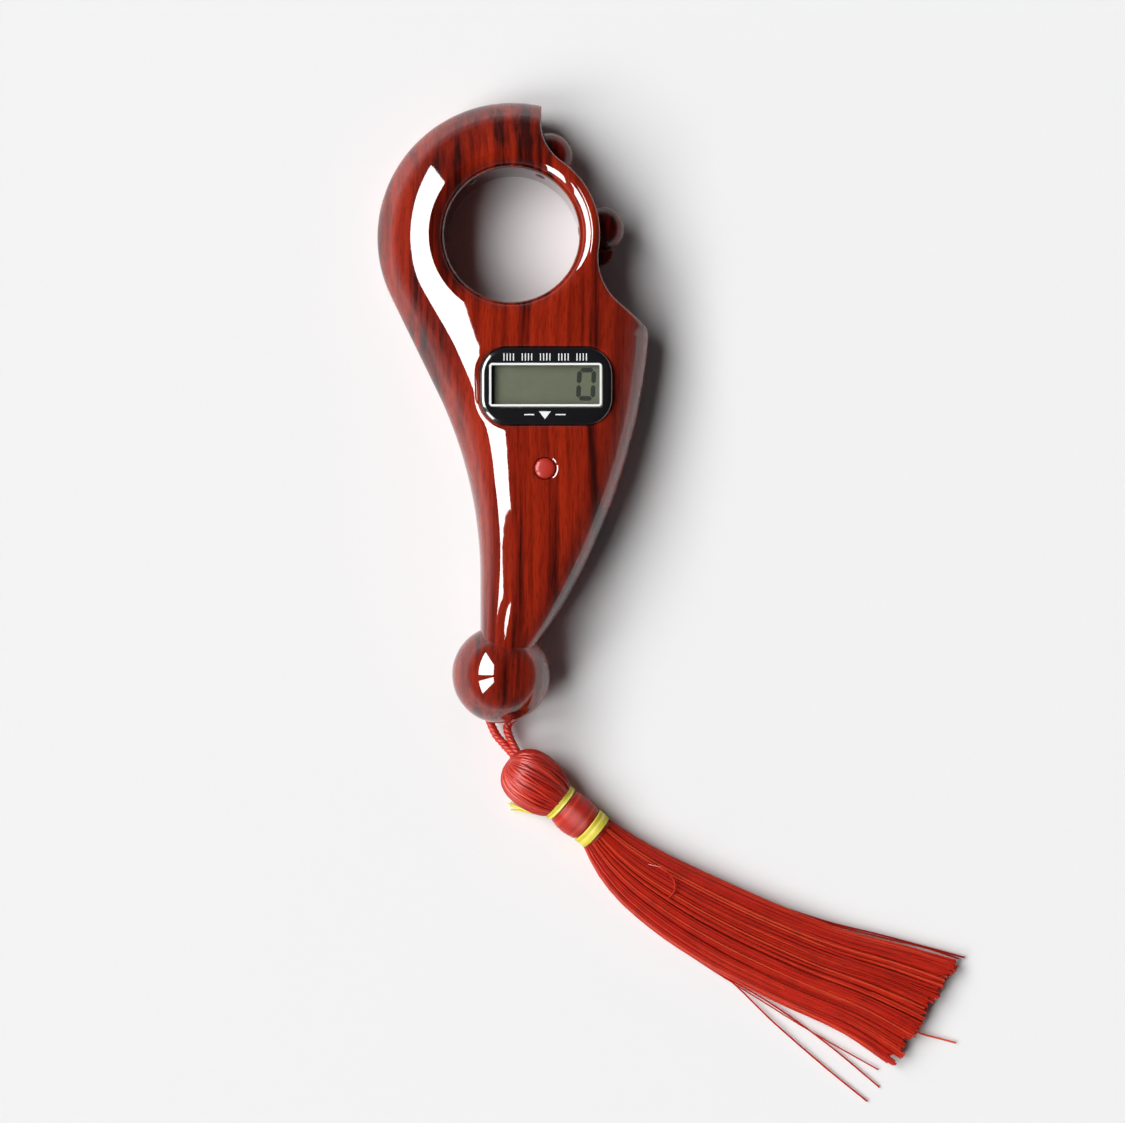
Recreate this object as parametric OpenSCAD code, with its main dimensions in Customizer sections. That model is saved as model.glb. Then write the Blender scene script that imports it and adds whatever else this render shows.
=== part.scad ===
// Ring-style hand tally counter with a thumb-rolled bead wheel and a tassel.
// The back lies on z = 0, the front faces +Z and the finger hole is centred on the Z axis.

/* [Body] */
// Thickness of the body, and the diameter of the ball at its foot
body_t = 15.8; // [15.4:0.1:16.4]
// Radius of the thick crescent around the finger hole
crescent_r = 21.75; // [21.6:0.05:22.4]
// Width of the rounding along the edge of each face
edge_round = 2.2; // [1.6:0.1:2.3]
// Thickness of the shell around the electronics
side_wall = 2.2; // [1.8:0.1:2.4]
// Thickness of the shell under each face
face_wall = 1.8; // [1.6:0.1:2.0]
// Half width of the round plates that cover the wheel at the open side
plate_r = 14.1; // [13.8:0.1:14.4]

/* [Finger hole and wheel] */
// Radius of the finger hole
finger_r = 10.8; // [10.5:0.1:10.9]
// Wall of the sleeve that lines the hole and carries the wheel
liner_wall = 1.0; // [0.8:0.1:1.1]
// Radial running clearance between sleeve and wheel
wheel_gap = 0.06; // [0.03:0.01:0.09]
// Radius of each bead of the wheel
bead_r = 3.75; // [3.5:0.05:3.8]
// Distance from the wheel axis to each bead's centre
bead_orbit = 14.4; // [14.3:0.05:14.5]
// Angle of the first bead from +X at rest
bead_phase = 5.5; // [0:0.5:10]
// Number of beads around the wheel
bead_count = 6; // [6]

/* [Display] */
// Width of the display lens
lens_w = 21.1; // [20.5:0.1:21.3]
// Height of the display lens
lens_h = 12.6; // [12:0.1:12.8]
// Corner radius of the display lens
lens_corner = 4.4; // [3:0.1:5]

/* [Reset button] */
// Radius of the reset button's cap
button_r = 1.65; // [1.4:0.05:1.8]
// Travel of the reset button
button_travel = 0.8; // [0.5:0.1:0.8]

/* [Battery] */
// Radius of the button cell
cell_r = 5.8; // [5.7:0.05:5.85]
// Height of the button cell
cell_h = 5.4; // [5.2:0.05:5.4]

/* [Cord and tassel] */
// Radius of the twisted cord
cord_r = 0.7; // [0.5:0.05:0.75]
// Length of the tassel's skirt
skirt_len = 62; // [50:1:65]
// Width of the skirt at its loose end
skirt_w = 21; // [16:1:22]

/* [Hidden] */
$fn = 64;
eps = 0.01;
half_t = body_t / 2;

// Left flank: a straight tangent off the crescent, then a hollow curve into the neck
flank_turn = 26;
neck_left_x = -5.15;
neck_hollow_r = 69;
flank_start = crescent_r * [cos(180 + flank_turn), sin(180 + flank_turn)];
flank_run = (neck_left_x - neck_hollow_r * (1 - cos(flank_turn)) - flank_start.x) / sin(flank_turn);
neck_hollow_c = [neck_left_x - neck_hollow_r,
                 flank_start.y - flank_run * cos(flank_turn) - neck_hollow_r * sin(flank_turn)];

// Right flank: one long bulging arc from the ball up to the shoulder
bulge_r = 102;
bulge_lean = 5;
bulge_top = [21.95, -16.3];
bulge_c = bulge_top - bulge_r * [cos(bulge_lean), -sin(bulge_lean)];
foot_y = -66;

// Shoulder, the scoop above it, and the notch at the top of the open side
shoulder_r = 2.9;
shoulder_c = bulge_top - shoulder_r * [cos(bulge_lean), -sin(bulge_lean)];
scoop_a = -9.3;
scoop_r = 9.15;
scoop_c = (plate_r + scoop_r) * [cos(scoop_a), sin(scoop_a)];
to_scoop = scoop_c - shoulder_c;
shoulder_end_a = atan2(to_scoop.y, to_scoop.x) - acos((shoulder_r + scoop_r) / norm(to_scoop));
notch_x = 4.7;
notch_turn_y = 18;
notch_r = (notch_x * notch_x + notch_turn_y * notch_turn_y - plate_r * plate_r)
          / (2 * (plate_r - notch_x));
notch_c = [notch_x + notch_r, notch_turn_y];
notch_a = atan2(notch_c.y, notch_c.x);
// Share of the edge rounding that the plate edge and the notch face keep
plate_share = 0.45;
notch_share = 0.15;

// Neck taper and ball
ball_c = [-1.8, -70.4];
taper_top_y = -42;
taper_drop = 1.5;
taper_r = pow(foot_y - taper_top_y, 2) / (2 * taper_drop);

// Wheel and its track between the two plates
liner_r = finger_r + liner_wall;
liner_top = 12.9;
track_half = 4.0;
track_r = bead_orbit + bead_r + 0.3;
partition_r = track_r + 0.75;
carrier_in = liner_r + wheel_gap;
carrier_out = 13.2;
carrier_half = 3.85;
peg_r = 0.9;
peg_in = 12.1;
dimple_r = 0.8;
dimple_sink = 0.25;
carrier_mid_r = (carrier_in + carrier_out) / 2;
lip_r = 1.6;
foot_at = [14.0, -1.7, 0.5];
foot_size = [2.3, 2.3];

// Click leaf under the wheel: its angles around the axis and its thickness
leaf_t = 0.2;
click_a = 180;
click_sweep = 48;
pocket_sweep = 56;
pocket_depth = 1.1;
click_z = half_t - track_half - 0.8;

// Count leaf beside the wheel, standing under the board
count_z = 6.7;
count_h = 2.4;
count_foot = [0.9, 1.6];
count_foot_at = [-6.2, -22.2];
pad_size = [0.8, 1.5];
pad_at = [3.4, -22.2];
window_size = [3.2, 2.2, 3.4];
window_x = 0.2;

// Electronics, from front to back
lens_c = [5.5, -24.3];
lens_t = 1.0;
lens_top = body_t - 0.1;
lens_floor = lens_top - lens_t;
view_size = [18, 7];
view_corner = 0.5;
face_under = body_t - face_wall;
glass_size = [20, 8.8, 1.6];
glass_c = lens_c - [0, 0.1];
board_top = 9.4;
board_t = 1.0;
board_under = board_top - board_t;
board_inset = 3;
board_y = [-49.5, -21];
cavity_y = [-60, -14];
button_c = [5.3, -37.4];
button_gap = 0.1;
button_flange_r = 2.6;
button_flange_t = 1.0;
button_guide_wall = 0.9;
button_guide_z = 12.2;
button_stem_r = 1.1;
dome_top = 10.45;

// Screws that close the shells, and those that hold the board
shell_screws_at = [[-11.2, -19.2], [16.9, -16.2], [3.0, -54.5]];
board_screws_at = [[-4.2, -31.5], [14.6, -31.5]];
boss_r = 2.1;
shell_pilot_r = 0.75;
shell_shank_r = 0.7;
shell_head_r = 1.6;
shell_head_t = 1.05;
shell_head_z = 2.1;
shell_screw_len = 8.5;
shell_pilot_h = 4.5;
shell_sink = 3.2;
board_boss_r = 1.7;
board_pilot_r = 0.6;
board_shank_r = 0.55;
board_head_r = 1.3;
board_head_t = 0.73;
board_screw_len = 4;
board_pilot_h = 3.6;
screw_play = 0.15;

// Battery well in the rear shell, and its quarter-turn cap
cell_c = [5.5, -36];
cell_z = 2.05;
well_out = 8.6;
well_groove = 7.8;
well_in = 6.1;
well_top = 7.6;
cap_flange_r = 7.5;
cap_plug_r = 6.6;
cap_step = 1.0;
cap_face = 0.05;
cap_flange_t = 0.75;
cap_lug_z = 1.95;
cap_play = 0.1;
cap_slot = [9, 1.4, 0.5];
lug_t = 0.7;
lug_in = 6.05;
groove_h = 1.1;
lug_sweep = 36;
lug_turn = 60;
contact_slot = [1.2, 2.8, 3.2];
contact_w = 2.4;
contact_z = 3.4;

// Cord bridge under the ball
bridge_half = 1.4;
bridge_y = ball_c.y - 5;
bridge_z = half_t - 3.7;
bridge_relief_r = 3.3;
bridge_play = 0.2;
strand_x = 2.35;
strand_drop = [0.3, -3.2, -0.4];

// Barrel knot at the end of the cord, in its socket at the top of the tassel's head
cord_end = [0.9, -84.0, 4.4];
knot_r = 1.35;
knot_half = 1.3;
socket_play = 0.15;

// Tassel: head, wrapped neck with two bands, then the skirt
head_c = [3.4, -87.8, 5.0];
head_r = 4.95;
tassel_yaw = -39.5;
tassel_pitch = 5.5;
band_r = 3.2;
wrap_r = 3.4;
head_cut = 4.8;
band_a = [4.84, 6.22];
wrap_span = [6.25, 11.2];
band_b = [11.23, 13.5];
skirt_start = 13.86;
thread_end_r = 0.3;
thread_end = [[4.6, -93.6, 1.2], [2.2, -92.6, 0.5], [-0.3, -92.0, 0.4]];

wood = [0.52, 0.10, 0.06];
dark_wood = [0.40, 0.08, 0.05];
silk = [0.80, 0.10, 0.06];
yellow = [0.92, 0.85, 0.22];
steel = [0.75, 0.76, 0.78];
black = [0.06, 0.06, 0.07];

// ---- Outline of the body, shrunk inwards by i ----

// Points along an arc of the outline; bulge is 1 for a convex arc and -1 for a hollow one,
// and the inset's share runs from k0 to k1 along it. An arc that carries on smoothly from
// the one before starts at step 1, because the two share a point.
function edge_arc(c, r, a0, a1, n, bulge, i, k0 = 1, k1 = 1, first = 0) =
    [for (s = [first:n]) let (t = s / n, a = a0 + (a1 - a0) * t)
        c + (r - bulge * i * (k0 + (k1 - k0) * t)) * [cos(a), sin(a)]];

function outline(i) = concat(
    edge_arc([0, 0], crescent_r, acos((notch_x - notch_share * i) / (crescent_r - i)),
             180 + flank_turn, 22, 1, i),
    edge_arc(neck_hollow_c, neck_hollow_r, flank_turn, 0, 8, -1, i),
    [[neck_left_x + i, foot_y]],
    edge_arc(bulge_c, bulge_r, asin((foot_y - bulge_c.y) / (bulge_r - i)), -bulge_lean, 12, 1, i),
    edge_arc(shoulder_c, shoulder_r, -bulge_lean, shoulder_end_a, 4, 1, i, first = 1),
    edge_arc(scoop_c, scoop_r, shoulder_end_a + 180, 180 + scoop_a, 7, -1, i, 1, plate_share),
    edge_arc([0, 0], plate_r, scoop_a, notch_a, 12, 1, i, plate_share, plate_share, first = 1),
    edge_arc(notch_c, notch_r, 180 + notch_a, 180, 6, -1, i, plate_share, notch_share, first = 1));

// Closed skin over rings of points that all have the same number of points
module skin(rings) {
    n = len(rings[0]);
    m = len(rings);
    polyhedron(
        points = [for (ring = rings) for (p = ring) p],
        faces = concat(
            [[for (k = [0:n - 1]) k]],
            [[for (k = [n - 1:-1:0]) (m - 1) * n + k]],
            [for (j = [0:m - 2]) for (k = [0:n - 1])
                [j * n + k, (j + 1) * n + k, j * n + (k + 1) % n]],
            [for (j = [0:m - 2]) for (k = [0:n - 1])
                [(j + 1) * n + k, (j + 1) * n + (k + 1) % n, j * n + (k + 1) % n]]),
        convexity = 6);
}

// One half of the body, from the parting plane at z = 0 up to its face. The skin runs a
// little past both, and is cut to length.
module half_body() {
    squareness = 2 / 2.6;
    layers = 6;
    spare = 1;
    reach = 100;
    intersection() {
        difference() {
            skin(concat(
                [[for (p = outline(0)) [p.x, p.y, -spare]]],
                [for (j = [0:layers]) let (t = 90 * j / layers,
                      inset = edge_round * (1 - pow(cos(t), squareness)),
                      z = half_t * pow(sin(t), squareness))
                    [for (p = outline(inset)) [p.x, p.y, z]]],
                [[for (p = outline(edge_round)) [p.x, p.y, half_t + spare]]]));
            neck_taper();
        }
        translate([-reach, -reach, 0]) cube([2 * reach, 2 * reach, half_t]);
    }
    intersection() {
        translate(ball_c) sphere(half_t);
        translate([ball_c.x - body_t, ball_c.y - body_t, 0]) cube([2 * body_t, 2 * body_t, body_t]);
    }
}

// Removes the wedge above the neck, so that its face sinks gently towards the ball
module neck_taper() {
    steps = 5;
    span = foot_y - 1 - taper_top_y;
    outside = 20;
    translate([outside, 0, 0]) rotate([0, -90, 0])
        linear_extrude(2 * outside)
            polygon(concat(
                [for (s = [0:steps]) let (y = taper_top_y + span * s / steps)
                    [half_t - pow(y - taper_top_y, 2) / (2 * taper_r), y]],
                [[half_t + 2, foot_y - 1], [half_t + 2, taper_top_y]]));
}

// Space for the electronics, as a flat shape
module cavity_shape(inset) {
    far = 60;
    difference() {
        intersection() {
            polygon(outline(inset));
            translate([-far / 2, cavity_y[0]]) square([far, cavity_y[1] - cavity_y[0]]);
        }
        circle(partition_r);
    }
}

function rounded_rect(w, h, r) = [for (q = [0:3]) for (s = [0:5]) let (a = 90 * q + 18 * s)
    [(w / 2 - r) * (q == 0 || q == 3 ? 1 : -1) + r * cos(a),
     (h / 2 - r) * (q < 2 ? 1 : -1) + r * sin(a)]];

module plate(w, h, r, t) {
    linear_extrude(t) polygon(rounded_rect(w, h, r));
}

module tube(r_out, r_in, h) {
    difference() {
        cylinder(r = r_out, h = h);
        translate([0, 0, -eps]) cylinder(r = r_in, h = h + 2 * eps);
    }
}

// Half ring of the wheel's track, from the parting plane to z = track_half
module track() {
    difference() {
        translate([0, 0, -eps]) cylinder(r = track_r, h = track_half + eps);
        translate([0, 0, -2 * eps]) cylinder(r = liner_r - 0.5, h = track_half + 3 * eps);
    }
}

// Opening in the wall beside the track, through which the count spring reaches the wheel
module spring_window() {
    wall_overlap = 0.6;
    translate([window_x, -partition_r - wall_overlap, half_t - window_size.z / 2]) cube(window_size);
}

// Rolled-over edge of a hole of radius r, cut into a face at height top
module hole_lip(r, top, roll) {
    steps = 4;
    rotate_extrude()
        polygon(concat(
            [[r - 1, top + 1], [r - 1, top - roll]],
            [for (s = [0:steps]) let (a = 180 - 90 * s / steps)
                [r + roll + roll * cos(a), top - roll + roll * sin(a)]],
            [[r + roll, top + 1]]));
}

// ---- Casing ----

module front_shell() {
    color(wood)
    difference() {
        union() {
            difference() {
                translate([0, 0, half_t]) half_body();
                translate([0, 0, half_t]) track();
                translate([0, 0, half_t - eps])
                    linear_extrude(face_under - half_t + eps) cavity_shape(side_wall);
            }
            for (p = shell_screws_at)
                translate([p.x, p.y, half_t]) cylinder(r = boss_r, h = face_under - half_t + eps);
            for (p = board_screws_at)
                translate([p.x, p.y, board_top])
                    cylinder(r = board_boss_r, h = face_under - board_top + eps);
            translate([button_c.x, button_c.y, button_guide_z])
                tube(button_flange_r + button_guide_wall, button_flange_r + button_gap,
                     face_under - button_guide_z + eps);
        }
        translate([0, 0, half_t - eps]) cylinder(r = liner_r, h = liner_top - half_t + eps);
        cylinder(r = finger_r, h = body_t + 1);
        hole_lip(finger_r, body_t, lip_r);
        translate([lens_c.x, lens_c.y, lens_floor]) plate(lens_w, lens_h, lens_corner, lens_t + 1);
        translate([lens_c.x, lens_c.y, face_under - eps])
            plate(view_size.x, view_size.y, view_corner, lens_t + 1);
        translate([button_c.x, button_c.y, face_under - eps])
            cylinder(r = button_r + button_gap, h = face_wall + 1);
        for (p = shell_screws_at)
            translate([p.x, p.y, half_t - eps]) cylinder(r = shell_pilot_r, h = shell_pilot_h);
        for (p = board_screws_at)
            translate([p.x, p.y, board_top - eps]) cylinder(r = board_pilot_r, h = board_pilot_h);
        spring_window();
    }
}

module rear_shell() {
    color(dark_wood)
    difference() {
        union() {
            difference() {
                translate([0, 0, half_t]) mirror([0, 0, 1]) half_body();
                translate([0, 0, half_t]) mirror([0, 0, 1]) track();
                translate([0, 0, face_wall])
                    linear_extrude(half_t - face_wall + eps) cavity_shape(side_wall);
            }
            for (p = shell_screws_at)
                translate([p.x, p.y, face_wall - eps])
                    cylinder(r = boss_r, h = half_t - face_wall + eps);
            translate([cell_c.x, cell_c.y, face_wall - eps])
                cylinder(r = well_out, h = well_top - face_wall);
            wheel_stop();
        }
        translate([0, 0, -eps]) cylinder(r = liner_r, h = half_t + 2 * eps);
        battery_well();
        detent_pocket();
        for (p = shell_screws_at) {
            translate([p.x, p.y, -eps]) cylinder(r = shell_head_r + screw_play, h = shell_sink);
            translate([p.x, p.y, 0]) cylinder(r = shell_shank_r + screw_play, h = half_t + 1);
        }
        spring_window();
        cord_bridge();
    }
}

// Small rounded foot that stands out of the rear plate below the beads
module wheel_stop() {
    translate(foot_at) cylinder(r = foot_size[0], h = foot_size[1]);
}

// Everything cut for the cell: seat of the cap, plug hole, lug entries, groove and bore
module battery_well() {
    entry_play = 2;
    overlap = 0.5;
    translate([cell_c.x, cell_c.y, 0]) {
        translate([0, 0, -eps]) cylinder(r = cap_flange_r + cap_play, h = cap_step + eps);
        cylinder(r = cap_plug_r + cap_play, h = face_wall + 2 * cap_play);
        translate([0, 0, face_wall]) cylinder(r = well_groove, h = groove_h);
        translate([0, 0, face_wall]) cylinder(r = well_in, h = well_top);
        for (a = [0, 180])
            rotate([0, 0, a - lug_turn - lug_sweep / 2 - entry_play])
                translate([0, 0, cap_step - eps])
                    rotate_extrude(angle = lug_sweep + 2 * entry_play)
                        translate([cap_plug_r - overlap, 0])
                            square([cap_flange_r + cap_play + overlap - cap_plug_r, face_wall]);
        translate([well_in - overlap, -contact_slot.y / 2, contact_slot.z])
            cube([contact_slot.x, contact_slot.y, well_top]);
    }
}

// Sunk arc in the floor of the track, where the click leaf lies
module detent_pocket() {
    overlap = 0.1;
    rotate([0, 0, click_a - pocket_sweep / 2])
        translate([0, 0, half_t - track_half - pocket_depth])
            rotate_extrude(angle = pocket_sweep)
                translate([liner_r - overlap, 0])
                    square([carrier_out - liner_r, pocket_depth + overlap]);
}

// Hole through the foot of the ball, with relief on both sides so that the cord can swing
module cord_bridge() {
    translate([ball_c.x, bridge_y, bridge_z]) rotate([0, 90, 0]) {
        translate([0, 0, -body_t]) cylinder(r = cord_r + bridge_play, h = 2 * body_t);
        for (side = [0, 1])
            mirror([0, 0, side]) translate([0, 0, bridge_half]) cylinder(r = bridge_relief_r, h = half_t);
    }
}

module finger_liner() {
    color(dark_wood) difference() {
        cylinder(r = liner_r, h = liner_top);
        translate([0, 0, -eps]) cylinder(r = finger_r, h = liner_top + 2 * eps);
    }
}

// ---- Bead wheel ----

module wheel_carrier() {
    peg_play = 0.05;
    peg_bore = 3;
    color(dark_wood) difference() {
        translate([0, 0, half_t - carrier_half]) tube(carrier_out, carrier_in, 2 * carrier_half);
        for (k = [0:bead_count - 1]) rotate([0, 0, bead_phase + 360 * k / bead_count]) {
            translate([peg_in - 2 * peg_play, 0, half_t]) rotate([0, 90, 0])
                cylinder(r = peg_r + peg_play, h = peg_bore);
            translate([carrier_mid_r, 0, half_t - carrier_half - dimple_r + dimple_sink])
                sphere(dimple_r);
        }
    }
}

module wheel_beads() {
    color(wood)
    for (k = [0:bead_count - 1]) rotate([0, 0, bead_phase + 360 * k / bead_count])
        union() {
            difference() {
                translate([bead_orbit, 0, half_t]) sphere(bead_r);
                cylinder(r = carrier_out, h = body_t);
            }
            translate([peg_in, 0, half_t]) rotate([0, 90, 0])
                cylinder(r = peg_r, h = bead_orbit - peg_in);
        }
}

// Curved leaf with a raised nose that falls into a dimple of the wheel
module detent_spring() {
    leaf_in = liner_r + 0.25;
    leaf_w = 0.8;
    nose = [0.5, 0.2, 0.8];
    color(steel) union() {
        rotate([0, 0, click_a - click_sweep / 2]) translate([0, 0, click_z])
            rotate_extrude(angle = click_sweep)
                translate([leaf_in, 0]) square([leaf_w, leaf_t]);
        rotate([0, 0, click_a]) translate([leaf_in + leaf_w / 2, 0, click_z + leaf_t / 2])
            cylinder(r1 = nose[0], r2 = nose[1], h = nose[2]);
    }
}

// Bent leaf whose tip is brushed by each passing bead
module count_spring() {
    path = [[-5.4, -20.75], [-0.6, -20.15], [1.77, -18.55], [3.7, -20.1]];
    color(steel) {
        translate([0, 0, count_z]) linear_extrude(count_h)
            polygon(concat(path, [for (k = [3:-1:0]) path[k] - [0, leaf_t]]));
        translate([count_foot_at.x, count_foot_at.y, count_z])
            cube([count_foot.x, count_foot.y, board_under - count_z]);
    }
}

// Pad that the count leaf touches
module count_contact() {
    color(steel) translate([pad_at.x, pad_at.y, count_z])
        cube([pad_size.x, pad_size.y, board_under - count_z]);
}

// ---- Display and electronics ----

module display_lens() {
    fit = 0.1;
    color(black) translate([lens_c.x, lens_c.y, lens_floor])
        plate(lens_w - fit, lens_h - fit, lens_corner - fit / 2, lens_t);
}

module lcd_glass() {
    color([0.62, 0.66, 0.55]) translate([glass_c.x, glass_c.y, face_under - glass_size.z / 2])
        cube(glass_size, center = true);
}

module lcd_frame() {
    rim = 0.65;
    slack = 0.1;
    h = 4.0;
    color([0.85, 0.85, 0.82]) translate([glass_c.x, glass_c.y, board_top + h / 2])
        difference() {
            cube([glass_size.x + 2 * rim + slack, glass_size.y + 2 * rim + slack, h], center = true);
            cube([glass_size.x + slack, glass_size.y + slack, h + 1], center = true);
        }
}

module zebra_strip() {
    strip = [18, 1.6, face_under - glass_size.z - board_top];
    color([0.9, 0.55, 0.6])
        translate([glass_c.x - strip.x / 2, glass_c.y - glass_size.y / 2, board_top]) cube(strip);
}

module circuit_board() {
    far = 60;
    boss_gap = 0.3;
    color([0.10, 0.36, 0.16]) translate([0, 0, board_under]) difference() {
        linear_extrude(board_t) difference() {
            polygon(outline(board_inset));
            translate([-far / 2, board_y[1]]) square([far, far]);
            translate([-far / 2, board_y[0] - far]) square([far, far]);
        }
        for (p = shell_screws_at)
            translate([p.x, p.y, -board_t]) cylinder(r = boss_r + boss_gap, h = 3 * board_t);
        for (p = board_screws_at)
            translate([p.x, p.y, -board_t]) cylinder(r = board_shank_r + screw_play, h = 3 * board_t);
    }
}

// Drop of black resin over the bonded counter chip
module chip_blob() {
    blob_r = 4.2;
    blob_h = 1.3;
    blob_c = [8.5, -25];
    around = 10;
    color(black) intersection() {
        translate([blob_c.x, blob_c.y, board_under - blob_h + blob_r]) sphere(blob_r);
        translate([blob_c.x - around, blob_c.y - around, board_under - 2 * blob_h])
            cube([2 * around, 2 * around, 2 * blob_h]);
    }
}

module crystal_can() {
    can_r = 0.95;
    can_len = 6;
    can_at = [-3.5, -25];
    color(steel) translate([can_at.x, can_at.y, board_under - can_r - 0.05]) rotate([0, 90, 0])
        cylinder(r = can_r, h = can_len);
}

// Row of small resistors and capacitors on the back of the board
module board_chips() {
    chip = [1.6, 0.8, 0.6];
    row_at = [-1, -47.2];
    pitch = 3;
    color([0.55, 0.5, 0.42]) for (k = [0:3])
        translate([row_at.x + pitch * k, row_at.y, board_under - chip.z]) cube(chip);
}

module reset_button() {
    crown = 0.2;
    crown_r = (button_r * button_r + crown * crown) / (2 * crown);
    flange_z = face_under - button_flange_t - button_gap;
    stem_z = dome_top + button_travel + 0.05;
    half_flange = button_flange_t / 2;
    color([0.75, 0.10, 0.08]) translate([button_c.x, button_c.y, 0]) {
        intersection() {
            translate([0, 0, flange_z + half_flange])
                cylinder(r = button_r, h = body_t + crown - flange_z);
            translate([0, 0, body_t + crown - crown_r]) sphere(crown_r, $fn = 128);
        }
        translate([0, 0, flange_z]) cylinder(r = button_flange_r, h = button_flange_t);
        translate([0, 0, stem_z]) cylinder(r = button_stem_r, h = flange_z - stem_z + half_flange);
    }
}

// Snap dome and its base on the board, under the button
module reset_dome() {
    base = 0.6;
    base_w = 4.4;
    dome_h = dome_top - board_top - base;
    dome_r = 1.8;
    sphere_r = (dome_r * dome_r + dome_h * dome_h) / (2 * dome_h);
    color(steel) translate([button_c.x, button_c.y, 0]) union() {
        translate([-base_w / 2, -base_w / 2, board_top]) cube([base_w, base_w, base]);
        intersection() {
            translate([0, 0, dome_top - sphere_r]) sphere(sphere_r);
            translate([0, 0, board_top + base / 2]) cylinder(r = base_w / 2, h = 2 * base);
        }
    }
}

// ---- Battery ----

module button_cell() {
    pole_step = [1.2, 0.5];
    color(steel) translate([cell_c.x, cell_c.y, cell_z]) union() {
        cylinder(r = cell_r, h = cell_h - pole_step[1]);
        cylinder(r = cell_r - pole_step[0], h = cell_h);
    }
}

module cell_contact_plus() {
    side = cell_r + 0.05;
    color(steel) translate([cell_c.x + side, cell_c.y - contact_w / 2, 0]) {
        translate([0, 0, contact_z]) cube([leaf_t, contact_w, board_under - contact_z]);
        translate([0, 0, board_under - leaf_t]) cube([contact_w, contact_w, leaf_t]);
    }
}

module cell_contact_minus() {
    nose = board_under - cell_z - cell_h - 0.05;
    nose_r = [0.6, 1];
    strip = [7, 2];
    strip_x = -4.5;
    color(steel) translate([cell_c.x, cell_c.y, board_under]) union() {
        translate([strip_x, -strip.y / 2, -leaf_t]) cube([strip.x, strip.y, leaf_t]);
        translate([0, 0, -nose]) cylinder(r1 = nose_r[0], r2 = nose_r[1], h = nose);
    }
}

module battery_cap() {
    plug_h = cap_lug_z - cap_face;
    overlap = 0.05;
    color(dark_wood) translate([cell_c.x, cell_c.y, cap_face]) difference() {
        union() {
            cylinder(r = cap_flange_r, h = cap_flange_t);
            cylinder(r = cap_plug_r, h = plug_h);
            for (a = [0, 180])
                rotate([0, 0, a - lug_sweep / 2]) translate([0, 0, plug_h - overlap])
                    rotate_extrude(angle = lug_sweep)
                        translate([lug_in, 0]) square([cap_flange_r - lug_in, lug_t]);
        }
        translate([-cap_slot.x / 2, -cap_slot.y / 2, -eps]) cube(cap_slot);
    }
}

module cap_seal() {
    play = 0.02;
    color(black) translate([cell_c.x, cell_c.y, cap_face + cap_flange_t + play])
        tube(cap_flange_r - cap_play, cap_plug_r + 1.5 * cap_play,
             cap_step - cap_face - cap_flange_t - 2 * play);
}

// ---- Fasteners ----

// Pan-head screw with its head at z = 0, pointing up, with a cross recess
module screw(head_r, head_h, shank_r, length) {
    recess_w = 0.3;
    recess_share = 0.6;
    difference() {
        union() {
            cylinder(r = head_r, h = head_h);
            cylinder(r = shank_r, h = head_h + length);
        }
        for (a = [0, 90]) rotate([0, 0, a])
            translate([-head_r * recess_share, -recess_w / 2, -eps])
                cube([2 * head_r * recess_share, recess_w, head_h * recess_share]);
    }
}

module shell_screws() {
    color(steel) for (p = shell_screws_at)
        translate([p.x, p.y, shell_head_z])
            screw(shell_head_r, shell_head_t, shell_shank_r, shell_screw_len);
}

module board_screws() {
    color(steel) for (p = board_screws_at)
        translate([p.x, p.y, board_under - board_head_t - 0.02])
            screw(board_head_r, board_head_t, board_shank_r, board_screw_len);
}

// ---- Cord and tassel ----

// Round-ended strand through a chain of points
module strand(points, r) {
    for (k = [0:len(points) - 2]) hull() {
        translate(points[k]) sphere(r, $fn = 16);
        translate(points[k + 1]) sphere(r, $fn = 16);
    }
}

module cord_loop() {
    left = [ball_c.x - strand_x, bridge_y, bridge_z];
    right = [ball_c.x + strand_x, bridge_y, bridge_z];
    color(silk) union() {
        strand([cord_end,
                left + strand_drop,
                left,
                right,
                right + [-strand_drop.x, strand_drop.y, strand_drop.z],
                cord_end], cord_r);
        translate(cord_end - [0, 0, knot_half]) cylinder(r = knot_r, h = 2 * knot_half);
    }
}

// Frame of the tassel's axis: local +X runs from the head towards the skirt
module on_tassel() {
    translate(head_c) rotate([0, 0, tassel_yaw]) rotate([0, tassel_pitch, 0]) children();
}

module tassel_ring(span, r) {
    on_tassel() translate([span[0], 0, 0]) rotate([0, 90, 0]) cylinder(r = r, h = span[1] - span[0]);
}

module tassel_head() {
    color(silk) difference() {
        translate(head_c) sphere(head_r);
        on_tassel() translate([head_cut, -head_r, -head_r]) cube(2 * head_r);
        translate(cord_end - [0, 0, knot_half + socket_play])
            cylinder(r = knot_r + socket_play, h = 2 * (knot_half + socket_play));
    }
}

module tassel_wrap() {
    color(silk) tassel_ring(wrap_span, wrap_r);
}

module band_upper() {
    color(yellow) tassel_ring(band_a, band_r);
}

module band_lower() {
    color(yellow) tassel_ring(band_b, band_r);
}

module band_thread_end() {
    color(yellow) strand(thread_end, thread_end_r);
}

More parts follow.
